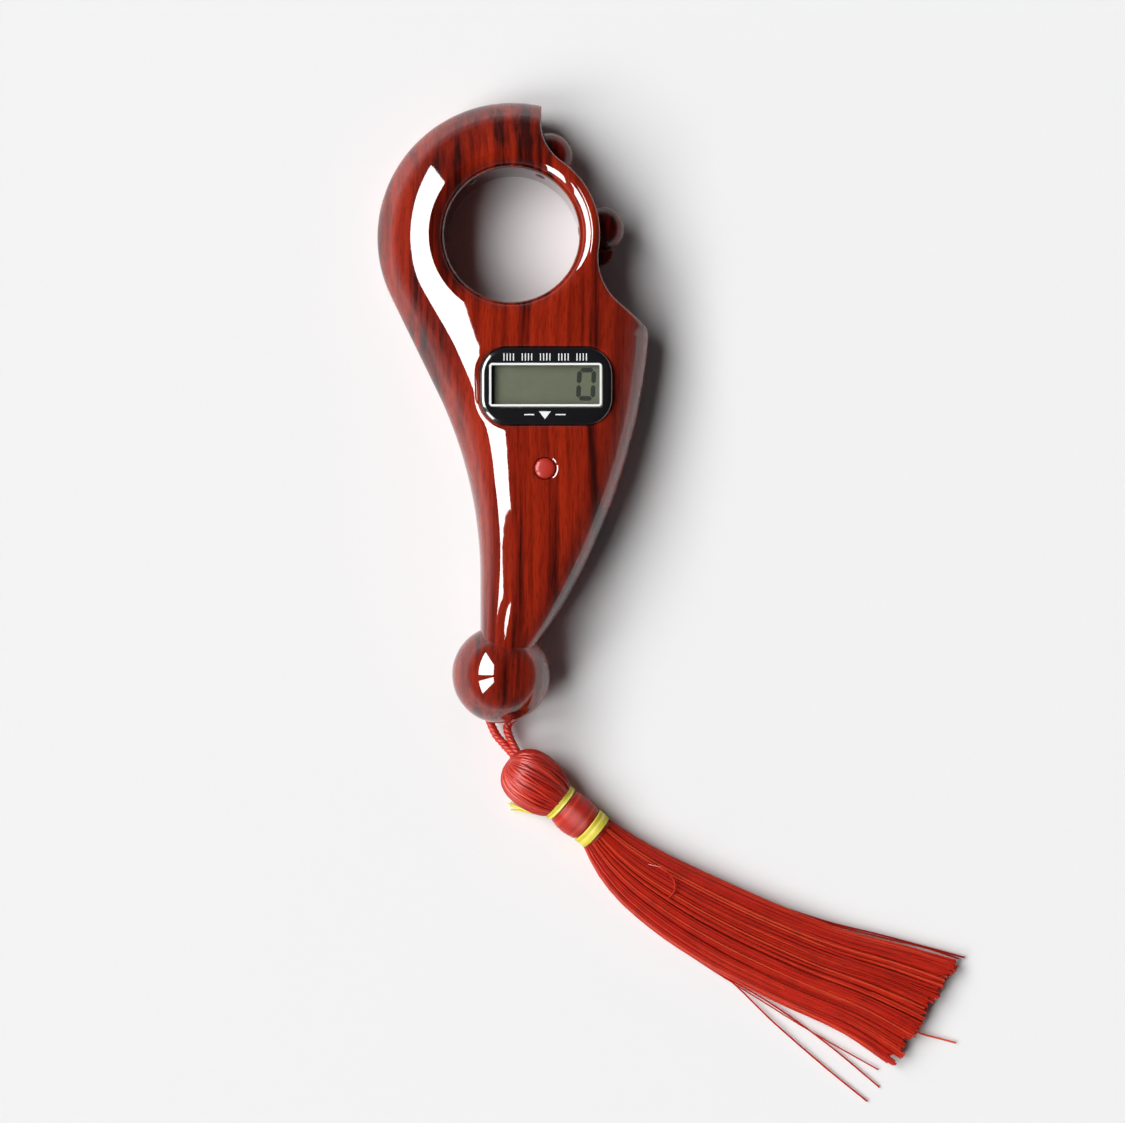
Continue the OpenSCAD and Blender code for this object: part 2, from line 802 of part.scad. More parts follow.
// Skirt: a flattened fan whose axis swings round a little towards its loose end
module tassel_skirt() {
    stations = 7;
    yaw_end = -30;
    flattening = 0.3;
    loose = 0.1;
    start = head_c + skirt_start * [cos(tassel_yaw) * cos(tassel_pitch),
                                    sin(tassel_yaw) * cos(tassel_pitch), -sin(tassel_pitch)];
    color(silk) skin([for (s = [0:stations]) let (
            t = s / stations,
            yaw = tassel_yaw + (yaw_end - tassel_yaw) * t,
            mid_yaw = tassel_yaw + (yaw_end - tassel_yaw) * t / 2,
            half_w = band_r + loose + (skirt_w / 2 - band_r) * t,
            half_h = band_r * (1 - flattening * t),
            z = start.z * (1 - t) + (half_h + loose) * t)
        [for (k = [0:23]) let (a = -15 * k)
            [start.x + skirt_len * t * cos(mid_yaw) - half_w * cos(a) * sin(yaw),
             start.y + skirt_len * t * sin(mid_yaw) + half_w * cos(a) * cos(yaw),
             z + half_h * sin(a)]]]);
}

front_shell();
rear_shell();
finger_liner();
wheel_carrier();
wheel_beads();
detent_spring();
count_spring();
count_contact();
display_lens();
lcd_glass();
lcd_frame();
zebra_strip();
circuit_board();
chip_blob();
crystal_can();
board_chips();
reset_button();
reset_dome();
button_cell();
cell_contact_plus();
cell_contact_minus();
battery_cap();
cap_seal();
shell_screws();
board_screws();
cord_loop();
tassel_head();
tassel_wrap();
band_upper();
band_lower();
band_thread_end();
tassel_skirt();
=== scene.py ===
import math

import bmesh
import bpy
import numpy as np
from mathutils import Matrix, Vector
from mathutils.geometry import delaunay_2d_cdt


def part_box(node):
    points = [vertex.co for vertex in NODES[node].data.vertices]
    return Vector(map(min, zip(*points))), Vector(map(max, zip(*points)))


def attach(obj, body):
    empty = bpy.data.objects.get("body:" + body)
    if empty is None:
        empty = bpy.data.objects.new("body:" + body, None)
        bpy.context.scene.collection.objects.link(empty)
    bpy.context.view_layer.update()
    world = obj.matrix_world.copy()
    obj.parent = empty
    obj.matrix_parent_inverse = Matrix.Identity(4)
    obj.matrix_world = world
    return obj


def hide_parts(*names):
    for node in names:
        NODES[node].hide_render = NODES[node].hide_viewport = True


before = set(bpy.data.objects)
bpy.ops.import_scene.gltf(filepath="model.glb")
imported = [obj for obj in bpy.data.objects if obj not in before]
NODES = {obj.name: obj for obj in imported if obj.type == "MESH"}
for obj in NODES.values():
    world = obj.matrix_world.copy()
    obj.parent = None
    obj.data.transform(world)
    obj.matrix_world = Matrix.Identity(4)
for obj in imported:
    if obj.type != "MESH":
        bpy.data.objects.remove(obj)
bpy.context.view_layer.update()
scene = bpy.context.scene
scene.view_settings.view_transform = "Standard"
scene.view_settings.look = "None"

MM = 0.001
nprng = np.random.default_rng(7)


# ---- driving values, in mm
BODY_T = 15.8
HALF_T = BODY_T / 2
CRESCENT_R = 21.75
PLATE_R = 14.1
FINGER_R = 10.8
LINER_R = 11.8
LINER_TOP = 12.9
TRACK_R = 18.45
TRACK_HALF = 4
PARTITION_R = 19.2
# Rounded rectangles: centre, width, height, corner radius; VIEW is the window, centred on the lens
LENS = (5.5, -24.3, 21.1, 12.6, 4.4)
LENS_FLOOR = 14.7
VIEW = (18, 7, 0.5)
VIEW_PARTS = {"n": 4, "per_side": 10}
FACE_UNDER = 14
THROUGH = FACE_UNDER - 2
# Centre and radius of the reset button
BUTTON = (5.3, -37.4, 1.65)
BUTTON_GAP = 0.1
BALL = (-1.8, -70.4)
FOOT_Y = -67.2
CELL = (5.5, -36)
SCREWS = [(-11.2, -19.2), (16.9, -16.2), (3, -54.5)]
BRIDGE = (BALL[1] - 5, 4.2)
HEAD = (3.4, -87.8, 5)
SLACK = 0.02


# ---- outline of the body
def rad(a):
    return math.radians(a)


def on(c, r, a):
    """Point on the circle of radius r about c, at an angle of a degrees."""
    return (c[0] + r * math.cos(rad(a)), c[1] + r * math.sin(rad(a)))


# Left side: the crescent leaves its circle at this angle and runs into the hollow of the neck
FLANK = 26
NECK_X = -5.15
NECK_R = 69
flank_start = on((0, 0), CRESCENT_R, 180 + FLANK)
flank_run = (NECK_X - NECK_R * (1 - math.cos(rad(FLANK))) - flank_start[0]) / math.sin(rad(FLANK))
neck_c = (NECK_X - NECK_R,
          flank_start[1] - flank_run * math.cos(rad(FLANK)) - NECK_R * math.sin(rad(FLANK)))
# Right side: a long bulge that leans at its top, and the shoulder that rounds it off
BULGE_R = 102
LEAN = 5
bulge_top = (21.95, -16.3)
bulge_c = on(bulge_top, -BULGE_R, -LEAN)
SHOULDER_R = 2.9
shoulder_c = on(bulge_top, -SHOULDER_R, -LEAN)
# Wheel opening: a scoop from the shoulder to the circle of the plate, and a notch at its top
SCOOP_A = -9.3
SCOOP_R = 9.15
scoop_c = on((0, 0), PLATE_R + SCOOP_R, SCOOP_A)
to_scoop = (scoop_c[0] - shoulder_c[0], scoop_c[1] - shoulder_c[1])
shoulder_end = math.degrees(math.atan2(to_scoop[1], to_scoop[0])
                            - math.acos((SHOULDER_R + SCOOP_R) / math.hypot(*to_scoop)))
NOTCH_X = 4.7
NOTCH_Y = 18
notch_r = (NOTCH_X ** 2 + NOTCH_Y ** 2 - PLATE_R ** 2) / (2 * (PLATE_R - NOTCH_X))
notch_c = (NOTCH_X + notch_r, NOTCH_Y)
notch_a = math.degrees(math.atan2(notch_c[1], notch_c[0]))


def arc(c, r, a0, a1, step, bulge=1, i=0, k0=1, k1=1, first=0):
    """Points on an arc whose radius shrinks by bulge * i, times k0 at its start and k1 at its end."""
    n = max(2, int(abs(math.radians(a1 - a0)) * r / step))
    shares = [s / n for s in range(first, n + 1)]
    return [on(c, r - bulge * i * (k0 + (k1 - k0) * t), a0 + (a1 - a0) * t) for t in shares]


def segn(p, q, n):
    """Points that divide the line from p to q into n parts, without its ends."""
    return [(p[0] + (q[0] - p[0]) * s / n, p[1] + (q[1] - p[1]) * s / n) for s in range(1, n)]


# Spacing of the points along each arc, and numbers of parts of the straight runs
STEP = 0.55
RUN_PARTS, NECK_PARTS, FOOT_PARTS, BULGE_PARTS = 30, 20, 14, 96
SCOOP_PARTS, NOTCH_PARTS, LIFT_PARTS = 4, 6, 12
TOP_A = 78
# How far the foot line moves up for each mm of inset, so that rings never lie on one another
FOOT_RISE = 0.35


def outline(i, cut=0.2):
    """Edge of the body moved inwards by i, and by cut * i along the wheel opening."""
    left = arc((0, 0), CRESCENT_R, TOP_A, 180 + FLANK, STEP, 1, i, 1, 1)
    top = (NOTCH_X - cut * i, math.sqrt((CRESCENT_R - i) ** 2 - (NOTCH_X - cut * i) ** 2))
    left[0] = top
    pts = left + segn(left[-1], on(neck_c, NECK_R + i, FLANK), RUN_PARTS)
    pts += arc(neck_c, NECK_R, FLANK, 0, STEP, -1, i, 1, 1)
    foot_y = FOOT_Y + FOOT_RISE * i
    foot_l = (NECK_X + i, foot_y)
    pts += segn(pts[-1], foot_l, NECK_PARTS) + [foot_l]
    a0 = math.degrees(math.asin((foot_y - bulge_c[1]) / (BULGE_R - i)))
    pts += segn(foot_l, on(bulge_c, BULGE_R - i, a0), FOOT_PARTS)
    pts += [on(bulge_c, BULGE_R - i, a0 + (-LEAN - a0) * s / BULGE_PARTS) for s in range(BULGE_PARTS + 1)]
    pts += arc(shoulder_c, SHOULDER_R, -LEAN, shoulder_end, STEP * 0.6, 1, i, 1, 1, 1)
    scoop = arc(scoop_c, SCOOP_R, shoulder_end + 180, 180 + SCOOP_A, STEP * 0.7, -1, i, 1, cut)
    pts += segn(pts[-1], scoop[0], SCOOP_PARTS) + scoop
    pts += arc((0, 0), PLATE_R, SCOOP_A, notch_a, STEP, 1, i, cut, cut, 1)
    pts += arc(notch_c, notch_r, 180 + notch_a, 180, STEP, -1, i, cut, cut, 1)
    pts += segn(pts[-1], top, NOTCH_PARTS)
    return np.array(pts)


def full_outline():
    """Edge of the body as if nothing were cut away at the wheel opening; open at the foot."""
    right = arc(bulge_c, BULGE_R, math.degrees(math.asin((FOOT_Y - bulge_c[1]) / BULGE_R)), 0, STEP)
    disc = arc((0, 0), CRESCENT_R, 0, 180 + FLANK, STEP)
    hollow = arc(neck_c, NECK_R, FLANK, 0, STEP)
    return np.array(right + disc + segn(disc[-1], hollow[0], RUN_PARTS) + hollow
                    + segn(hollow[-1], (NECK_X, FOOT_Y), NECK_PARTS) + [(NECK_X, FOOT_Y)])


def dist_to(line, pts, lift=None):
    """Distance from each of pts to an open polyline, plus the lift given at its points."""
    a, b = line[:-1], line[1:]
    ab = b - a
    l2 = (ab ** 2).sum(1)
    extra = np.zeros(len(a)) if lift is None else (lift[:-1] + lift[1:]) / 2
    out = np.full(len(pts), 1e9)
    for k in range(0, len(pts), 2000):
        p = pts[k:k + 2000]
        t = np.clip(((p[:, None] - a) * ab).sum(2) / l2, 0, 1)
        d = np.linalg.norm(p[:, None] - (a + t[..., None] * ab), axis=2) + extra
        out[k:k + 2000] = d.min(1)
    return out


def run(points):
    """Length of a row of points up to each of them."""
    return np.concatenate([[0], np.cumsum(np.linalg.norm(np.diff(points, axis=0), axis=1))])


def hermite(t, h, y0, y1, m0, m1):
    """Cubic from y0 to y1 over a length of h, with slopes m0 and m1 at its ends."""
    return ((2 * t ** 3 - 3 * t ** 2 + 1) * y0 + (t ** 3 - 2 * t ** 2 + t) * h * m0
            + (3 * t ** 2 - 2 * t ** 3) * y1 + (t ** 3 - t ** 2) * h * m1)


def inside(poly, pts):
    """Which of pts lie inside a closed polygon."""
    x, y = pts.T
    c = np.zeros(len(pts), bool)
    for (xi, yi), (xj, yj) in zip(poly, np.roll(poly, 1, axis=0)):
        hit = (yi > y) != (yj > y)
        with np.errstate(divide="ignore", invalid="ignore"):
            c ^= hit & (x < (xj - xi) * (y - yi) / (yj - yi) + xi)
    return c


# ---- the dome of each face
FULL = full_outline()
EDGE = outline(0)
SHOULDER = np.array(arc(shoulder_c, SHOULDER_R, -LEAN, 15, STEP * 0.4))
_rest = arc(shoulder_c, SHOULDER_R, 15, shoulder_end, STEP * 0.4)
_scoop = arc(scoop_c, SCOOP_R, shoulder_end + 180, 180 + SCOOP_A, STEP * 0.7)
SCOOP = np.array(_rest + segn(_rest[-1], _scoop[0], LIFT_PARTS) + _scoop)
# Past the shoulder the dome no longer falls to the parting line: its edge is lifted step by step
SCOOP_LIFT = 2 * run(SCOOP)


def edge_distance(pts):
    near = [dist_to(FULL, pts), dist_to(SHOULDER, pts), dist_to(SCOOP, pts, SCOOP_LIFT)]
    return np.minimum.reduce(near)


# Along the body: how far in from its edge the face passes a tilt of T_A and of T_B, how high the
# face rises, and half its width there
DOME_Y = [-66, -58, -40.9, -30.7, -18.3, -6, 22]
DOME_A = [2.2, 2.75, 3.8, 4.9, 5.4, 4.2, 4]
DOME_B = [3.6, 4.45, 5.5, 7.2, 8.3, 8.9, 9]
DOME_H = [6.5, 7.15, 7.88, 7.9, 7.9, 7.7, 7.6]
DOME_W = [4.5, 7, 11.6, 14.6, 18.6, 21.75, 21.75]
T_STEEP, T_A, T_B = 47, 30, 10
# Width of the round rim: a limit and a share of DOME_A; width of the crown past DOME_B likewise
RIM_MAX, RIM_SHARE, RIM_BLEND = 1.5, 0.42, 0.9
CROWN_MIN, CROWN_SHARE = 0.8, 1.6
# Height and depth of the small chamfer on each side of the parting line
SEAM = 0.12


def smooth_interp(x, xs, ys):
    """Interpolation through knots with continuous slope and no overshoot."""
    xs, ys = np.array(xs, float), np.array(ys, float)
    x = np.clip(x, xs[0], xs[-1])
    h = np.diff(xs)
    m = np.diff(ys) / h
    s = np.zeros(len(xs))
    same = m[:-1] * m[1:] > 0
    s[1:-1][same] = 2 * m[:-1][same] * m[1:][same] / (m[:-1] + m[1:])[same]
    k = np.clip(np.searchsorted(xs, x) - 1, 0, len(h) - 1)
    return hermite((x - xs[k]) / h[k], h[k], ys[k], ys[k + 1], s[k], s[k + 1])


def dome(pts, d=None):
    """Height of the face above the parting plane."""
    if d is None:
        d = edge_distance(pts)
    a, b, h, wide = (smooth_interp(pts[:, 1], DOME_Y, row) for row in (DOME_A, DOME_B, DOME_H, DOME_W))
    e = np.minimum(RIM_MAX, RIM_SHARE * a)
    c = b + CROWN_SHARE * (b - a) + CROWN_MIN
    ms, ma, mb = (math.tan(rad(v)) for v in (T_STEEP, T_A, T_B))

    def ramp(x, x0, x1, m0, m1):
        t = np.clip(x - x0, 0, None)
        t = np.minimum(t, x1 - x0)
        return m0 * t + (m1 - m0) * t * t / (2 * (x1 - x0))

    def rest(x):
        return ramp(x, e, a, ms, ma) + ramp(x, a, b, ma, mb) + ramp(x, b, c, mb, 0)

    he = h - rest(np.minimum(c, np.maximum(wide, a)))
    t = np.clip(d / e, 0, 1)
    k = np.minimum(RIM_BLEND, ms * e / he)
    first = he * ((1 - k) * np.sqrt(np.clip(1 - (1 - t) ** 2, 0, 1)) + k * t)
    return SEAM + np.minimum(first + rest(d), HALF_T) * (1 - SEAM / HALF_T)


def rounded_rect(cx, cy, w, h, r, grow=0, n=10, per_side=16):
    w2, h2, r2 = w / 2 + grow, h / 2 + grow, r + grow
    corners = []
    for q, (sx, sy) in enumerate([(1, 1), (-1, 1), (-1, -1), (1, -1)]):
        c = (cx + sx * (w2 - r2), cy + sy * (h2 - r2))
        corners.append([on(c, r2, 90 * (q + k / n)) for k in range(n + 1)])
    pts = []
    for corner, following in zip(corners, corners[1:] + corners[:1]):
        pts += corner + segn(corner[-1], following[0], per_side)
    return np.array(pts)


def circle(cx, cy, r, n):
    a = np.linspace(0, 2 * math.pi, n, endpoint=False)
    return np.stack([cx + r * np.cos(a), cy + r * np.sin(a)], 1)


def round_off(q, r, depth):
    """How far a rounded edge has dropped at distance q from it."""
    t = np.clip(q / r, 0, 1)
    return depth * (1 - np.sqrt(np.clip(1 - (1 - t) ** 2, 0, 1)))


# ---- mesh helpers
def make(name, b, body="root", mat=None, smooth=35):
    me = bpy.data.meshes.new(name)
    me.from_pydata((np.asarray(b.v, float) * MM).tolist(), [], b.f)
    me.update()
    bm = bmesh.new()
    bm.from_mesh(me)
    bmesh.ops.remove_doubles(bm, verts=bm.verts, dist=1e-7)
    bmesh.ops.recalc_face_normals(bm, faces=bm.faces)
    bm.to_mesh(me)
    bm.free()
    ob = bpy.data.objects.new(name, me)
    scene.collection.objects.link(ob)
    if smooth is not None:
        shade(ob, smooth)
    if mat:
        me.materials.append(mat)
    if body:
        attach(ob, body)
    return ob


def stand_in(ob, node_name):
    """Hides the node of the frame that a finer piece stands in for."""
    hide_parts(node_name)


def shade(ob, angle):
    """Smooth shading with edges sharper than angle kept sharp."""
    me = ob.data
    me.polygons.foreach_set("use_smooth", [True] * len(me.polygons))
    me.set_sharp_from_angle(angle=rad(angle))
    me.update()


class Builder:
    """Collects vertices and faces of one mesh."""

    def __init__(self):
        self.v = []
        self.f = []

    def ring(self, xy, z):
        start = len(self.v)
        z = np.broadcast_to(z, (len(xy),))
        self.v += [(float(p[0]), float(p[1]), float(q)) for p, q in zip(xy, z)]
        return list(range(start, len(self.v)))

    def join(self, a, b):
        """Faces between two rings; a ring of one point makes a fan."""
        for k in range(max(len(a), len(b))):
            corners = (a[k % len(a)], a[(k + 1) % len(a)], b[(k + 1) % len(b)], b[k % len(b)])
            face = tuple(dict.fromkeys(corners))
            if len(face) > 2:
                self.f.append(face)

    def chain(self, rings):
        for a, b in zip(rings, rings[1:]):
            self.join(a, b)

    def outline(self, ring):
        return np.array([self.v[i][:2] for i in ring])

    def fill(self, outer, holes, points=None, height=None):
        """Flat region inside outer and outside each hole, with extra points at their height."""
        loops = [outer] + holes
        co, ids, edges = [], [], []
        for lp in loops:
            base = len(co)
            co += [Vector(self.v[i][:2]) for i in lp]
            ids += lp
            edges += [(base + k, base + (k + 1) % len(lp)) for k in range(len(lp))]
        if points is not None:
            for p, z in zip(points, height):
                co.append(Vector((float(p[0]), float(p[1]))))
                ids.append(len(self.v))
                self.v.append((float(p[0]), float(p[1]), float(z)))
        out = delaunay_2d_cdt(co, edges, [], 0, 1e-6)
        nv, nf = out[0], out[2]
        back = [ids[src[0]] if src else None for src in out[3]]
        cen = np.array([[sum(nv[i][0] for i in f) / 3, sum(nv[i][1] for i in f) / 3] for f in nf])
        keep = inside(self.outline(outer), cen)
        for hole in holes:
            keep &= ~inside(self.outline(hole), cen)
        for f, k in zip(nf, keep):
            if k and all(back[i] is not None for i in f):
                self.f.append(tuple(back[i] for i in f))


def lathe(profile, n=96, centre=(0, 0)):
    """Closed ring solid from a closed (r, z) profile, or a disc solid where r is 0."""
    b = Builder()
    rings = [b.ring(circle(*centre, r, n) if r else [centre], z) for r, z in profile]
    b.chain(rings + rings[:1])
    return b


def prism(loop, z0, z1):
    b = Builder()
    ends = [b.ring(loop, z0), b.ring(loop, z1)]
    b.chain(ends)
    b.f += [tuple(end) for end in ends]
    return b


def cutter(b):
    return make("cutter", b, body=None, smooth=None)


def boolean(ob, other, op="DIFFERENCE"):
    """Cuts other from ob, or joins them by op; other is used up."""
    mod = ob.modifiers.new("b", "BOOLEAN")
    mod.operation = op
    mod.solver = "EXACT"
    mod.object = other
    deps = bpy.context.evaluated_depsgraph_get()
    used = [ob.data, other.data]
    new = bpy.data.meshes.new_from_object(ob.evaluated_get(deps), depsgraph=deps)
    ob.modifiers.clear()
    ob.data = new
    bpy.data.objects.remove(other)
    for me in used:
        bpy.data.meshes.remove(me)


def clean(ob, dist=2e-6):
    """Tidies what booleans leave; a cut can drop a sliver, whose hole is closed again."""
    bm = bmesh.new()
    bm.from_mesh(ob.data)
    bmesh.ops.remove_doubles(bm, verts=bm.verts, dist=dist)
    bmesh.ops.dissolve_degenerate(bm, edges=bm.edges, dist=dist)
    bmesh.ops.holes_fill(bm, edges=[e for e in bm.edges if e.is_boundary], sides=4)
    bmesh.ops.recalc_face_normals(bm, faces=bm.faces)
    bm.to_mesh(ob.data)
    bm.free()


# ---- materials
def material(name):
    m = bpy.data.materials.new(name)
    m.use_nodes = True
    nt = m.node_tree
    bsdf = nt.nodes["Principled BSDF"]
    return m, nt, bsdf


def node(nt, kind, **inputs):
    n = nt.nodes.new(kind)
    for k, v in inputs.items():
        key = k.replace("_", " ")
        if key in n.inputs:
            n.inputs[key].default_value = v
        else:
            setattr(n, k, v)
    return n


def link(nt, a, ai, b, bi):
    nt.links.new(a.outputs[ai], b.inputs[bi])


def grey(v, blue=0):
    return (v, v, v + blue, 1)


def srgb(r, g, b):
    def f(c):
        c /= 255
        return c / 12.92 if c <= 0.04045 else ((c + 0.055) / 1.055) ** 2.4
    return (f(r), f(g), f(b), 1)


def ramp_node(nt, stops):
    n = nt.nodes.new("ShaderNodeValToRGB")
    el = n.color_ramp.elements
    while len(el) > 1:
        el.remove(el[-1])
    el[0].position, el[0].color = stops[0]
    for p, c in stops[1:]:
        e = el.new(p)
        e.color = c
    return n


def coords(nt, scale=(1, 1, 1)):
    mp = node(nt, "ShaderNodeMapping", Scale=scale)
    link(nt, node(nt, "ShaderNodeTexCoord"), "Object", mp, "Vector")
    return mp


def settings(bsdf, **values):
    for key, value in values.items():
        bsdf.inputs[key.replace("_", " ")].default_value = value


def noise(nt, at, scale, detail=2, roughness=0.5):
    n = node(nt, "ShaderNodeTexNoise", Scale=scale, Detail=detail, Roughness=roughness)
    link(nt, at, 0, n, "Vector")
    return n


def spread(nt, source, lo, hi):
    n = node(nt, "ShaderNodeMapRange", To_Min=lo, To_Max=hi)
    link(nt, source, "Fac", n, 0)
    return n


def relief(nt, source, strength, distance, bsdf, socket="Normal"):
    n = node(nt, "ShaderNodeBump", Strength=strength, Distance=distance)
    link(nt, source, "Fac", n, "Height")
    link(nt, n, 0, bsdf, socket)


def multiply(nt, fac, a, b):
    n = node(nt, "ShaderNodeMixRGB", blend_type="MULTIPLY")
    n.inputs[0].default_value = fac
    link(nt, a, 0, n, 1)
    link(nt, b, 0, n, 2)
    return n


WHITE = (1, 1, 1, 1)


def gloss_wood(name, base, dark, light, coat_ior=1.6):
    """Glossy moulded plastic with a printed grain that runs along Y under a clear coat."""
    m, nt, bsdf = material(name)
    wander = noise(nt, coords(nt), 22)
    bent = node(nt, "ShaderNodeVectorMath", operation="MULTIPLY_ADD")
    bent.inputs[1].default_value = (0.004, 0.004, 0)
    link(nt, wander, "Color", bent, 0)
    link(nt, coords(nt), 0, bent, 2)

    def layer(scale, along, detail, rough, stops):
        mp = node(nt, "ShaderNodeMapping", Scale=(1, along, 0.35))
        link(nt, bent, 0, mp, "Vector")
        cr = ramp_node(nt, stops)
        link(nt, noise(nt, mp, scale, detail, rough), "Fac", cr, 0)
        return cr

    bands = layer(330, 0.035, 5, 0.55, [(0.37, dark), (0.47, base), (0.56, light), (0.70, base)])
    fine = layer(1300, 0.02, 3, 0.6, [(0.30, (0.35, 0.30, 0.28, 1)), (0.50, WHITE)])
    fleck = layer(4200, 0.10, 2, 0.5, [(0.36, (0.30, 0.24, 0.22, 1)), (0.50, WHITE)])
    broad = layer(105, 0.05, 3, 0.55, [(0.36, (0.50, 0.40, 0.36, 1)), (0.52, WHITE)])
    col = multiply(nt, 0.55, bands, fine)
    col = multiply(nt, 0.40, col, fleck)
    col = multiply(nt, 0.75, col, broad)
    link(nt, col, 0, bsdf, "Base Color")
    settings(bsdf, Roughness=0.6, Specular_IOR_Level=0, Coat_Weight=1, Coat_IOR=coat_ior)
    smudge = noise(nt, coords(nt), 90, 4)
    link(nt, spread(nt, smudge, 0.015, 0.06), 0, bsdf, "Coat Roughness")
    relief(nt, noise(nt, coords(nt), 260), 0.10, 0.0001, bsdf, "Coat Normal")
    return m


WOOD = gloss_wood("wood_face", srgb(144, 34, 15), srgb(64, 13, 8), srgb(164, 43, 18), 1.8)
WOOD_BACK = gloss_wood("wood_back", srgb(140, 34, 18), srgb(66, 14, 8), srgb(160, 48, 28))


# ---- casing, front half
# Rolled lip of the finger hole, and the width of the band outside its crease
LIP, LIP_EDGE, LIP_BAND = 2.1, 13.05, 0.28
LIP_STEPS, CREASE = 12, 0.05
AROUND = 160
# Insets of the rings in the rim, close together where it is steep
RINGS = [1.5 * (1 - math.cos(rad(a))) for a in (0, 5, 10, 16, 23, 31, 40, 50, 60, 70, 80, 90)]
RINGS += [1.85, 2.3, 2.8]
# Share of each inset that applies along the wheel opening, and the depth of its rounded edge
CUT, OPEN_DROP = 0.18, 0.42
# Rounded edges of the display recess and of the button hole: width, depth and ring offsets
RECESS = (0.95, 0.5, (0.95, 0.75, 0.55, 0.4, 0.26, 0.14, 0.05, 0))
BUTTON_HOLE = (0.45, 0.3, (0.45, 0.3, 0.18, 0.08, 0))


def soft_hole(b, shape, soft, depth, offsets):
    """Rounded edge of a hole in the face; returns its outermost and its innermost ring."""
    rings = []
    for q in offsets:
        xy = shape(q)
        rings.append(b.ring(xy, HALF_T + dome(xy) - round_off(q, soft, depth)))
    b.chain(rings)
    return rings[0], rings[-1]


def grid_points(outer, holes, step=0.5, margin=0.33):
    """Staggered points inside outer and outside the holes, margin away from both."""
    xs = np.arange(-22, 23, step)
    ys = np.arange(-66, 22, step)
    p = np.array([(x + (0.5 * step if j % 2 else 0), y) for j, y in enumerate(ys) for x in xs])
    p = p[inside(outer, p)]
    for hole in holes:
        p = p[~inside(hole, p)]
    for loop in [outer] + holes:
        p = p[dist_to(np.vstack([loop, loop[:1]]), p) > margin]
    return p


def front_shell():
    b = Builder()
    # on the flank the distance from the edge is the inset; the edge of the wheel opening is rounded
    away = edge_distance(EDGE)
    open_edge = np.clip(away / 3, 0, 1) * (EDGE[:, 1] > FOOT_Y + 2)
    rings = [b.ring(outline(SEAM, CUT), HALF_T)]
    for i in RINGS:
        xy = outline(i, CUT)
        z = dome(xy, np.where(away < 0.02, i, edge_distance(xy)))
        drop = open_edge * round_off(np.linalg.norm(xy - EDGE, axis=1), CUT * RINGS[-1], OPEN_DROP)
        rings.append(b.ring(xy, HALF_T + z - drop))
    b.chain(rings)
    # finger hole: crease, rolled lip, bore, seat of the sleeve
    band = circle(0, 0, LIP_EDGE + LIP_BAND, AROUND)
    crease = circle(0, 0, LIP_EDGE, AROUND)
    top = HALF_T + dome(crease)
    hole = [b.ring(band, HALF_T + dome(band)), b.ring(crease, top)]
    for k in range(LIP_STEPS + 1):
        t = rad(90 * k / LIP_STEPS)
        r = FINGER_R + LIP * (1 - math.sin(t))
        hole.append(b.ring(circle(0, 0, r, AROUND), top - CREASE - LIP * (1 - math.cos(t))))
    hole += [b.ring(circle(0, 0, r, AROUND), z)
             for r, z in ((FINGER_R, LINER_TOP), (LINER_R, LINER_TOP), (LINER_R, HALF_T))]
    b.chain(hole)
    # recess of the display and its window
    edge, recess = soft_hole(b, lambda q: rounded_rect(*LENS, grow=q), *RECESS)
    floor = b.ring(rounded_rect(*LENS), LENS_FLOOR)
    b.join(recess, floor)
    view = rounded_rect(*LENS[:2], *VIEW, **VIEW_PARTS)
    window = [b.ring(view, LENS_FLOOR), b.ring(view, THROUGH)]
    b.fill(floor, window[:1])
    b.chain(window)
    # hole of the reset button
    bx, by, br = BUTTON
    button_edge, shaft = soft_hole(b, lambda q: circle(bx, by, br + BUTTON_GAP + q, 48), *BUTTON_HOLE)
    low = b.ring(circle(bx, by, br + BUTTON_GAP, 48), THROUGH)
    b.join(shaft, low)
    b.f += [tuple(window[1]), tuple(low)]
    # face between them
    holes = [hole[0], edge, button_edge]
    pts = grid_points(b.outline(rings[-1]), [b.outline(h) for h in holes])
    b.fill(rings[-1], holes, pts, HALF_T + dome(pts))
    b.fill(rings[0], [hole[-1]])
    return make("shell_front", b, mat=WOOD)


def half_ball(side):
    """Upper (side 1) or lower (side -1) half of the ball, with its share of the parting line."""
    b = Builder()
    n, m = 96, 28
    rings = [b.ring(circle(*BALL, HALF_T - SEAM, n), HALF_T),
             b.ring(circle(*BALL, HALF_T, n), HALF_T + side * SEAM)]
    for k in range(1, m):
        t = rad(90 * k / m)
        rings.append(b.ring(circle(*BALL, HALF_T * math.cos(t), n), HALF_T * (1 + side * math.sin(t))))
    b.chain(rings + [b.ring([BALL], HALF_T * (1 + side))])
    b.f.append(tuple(rings[0]))
    return b


# Left edge of the space for the electronics: x and y, and how far x moves in for each mm of wall
LEFT_EDGE = [(-13, -13, 1), (-13.9, -19, 1.1), (-11, -26, 1.1), (-8.9, -33, 1.05),
             (-6.9, -42, 1), (-5.6, -52, 1), (-5.2, -60, 1)]


def shape_inset(wall):
    """Rough outline of the middle of the body, moved inwards by wall."""
    right = arc(bulge_c, BULGE_R - wall, -27, -LEAN - 1, 3)
    return np.array(right + [(14, -13)] + [(x + wall * k, y) for x, y, k in LEFT_EDGE])


def drum(r, z0, z1, n, centre=(0, 0)):
    """Solid cylinder to cut with."""
    return cutter(lathe([(0, z0), (r, z0), (r, z1), (0, z1)], n, centre))


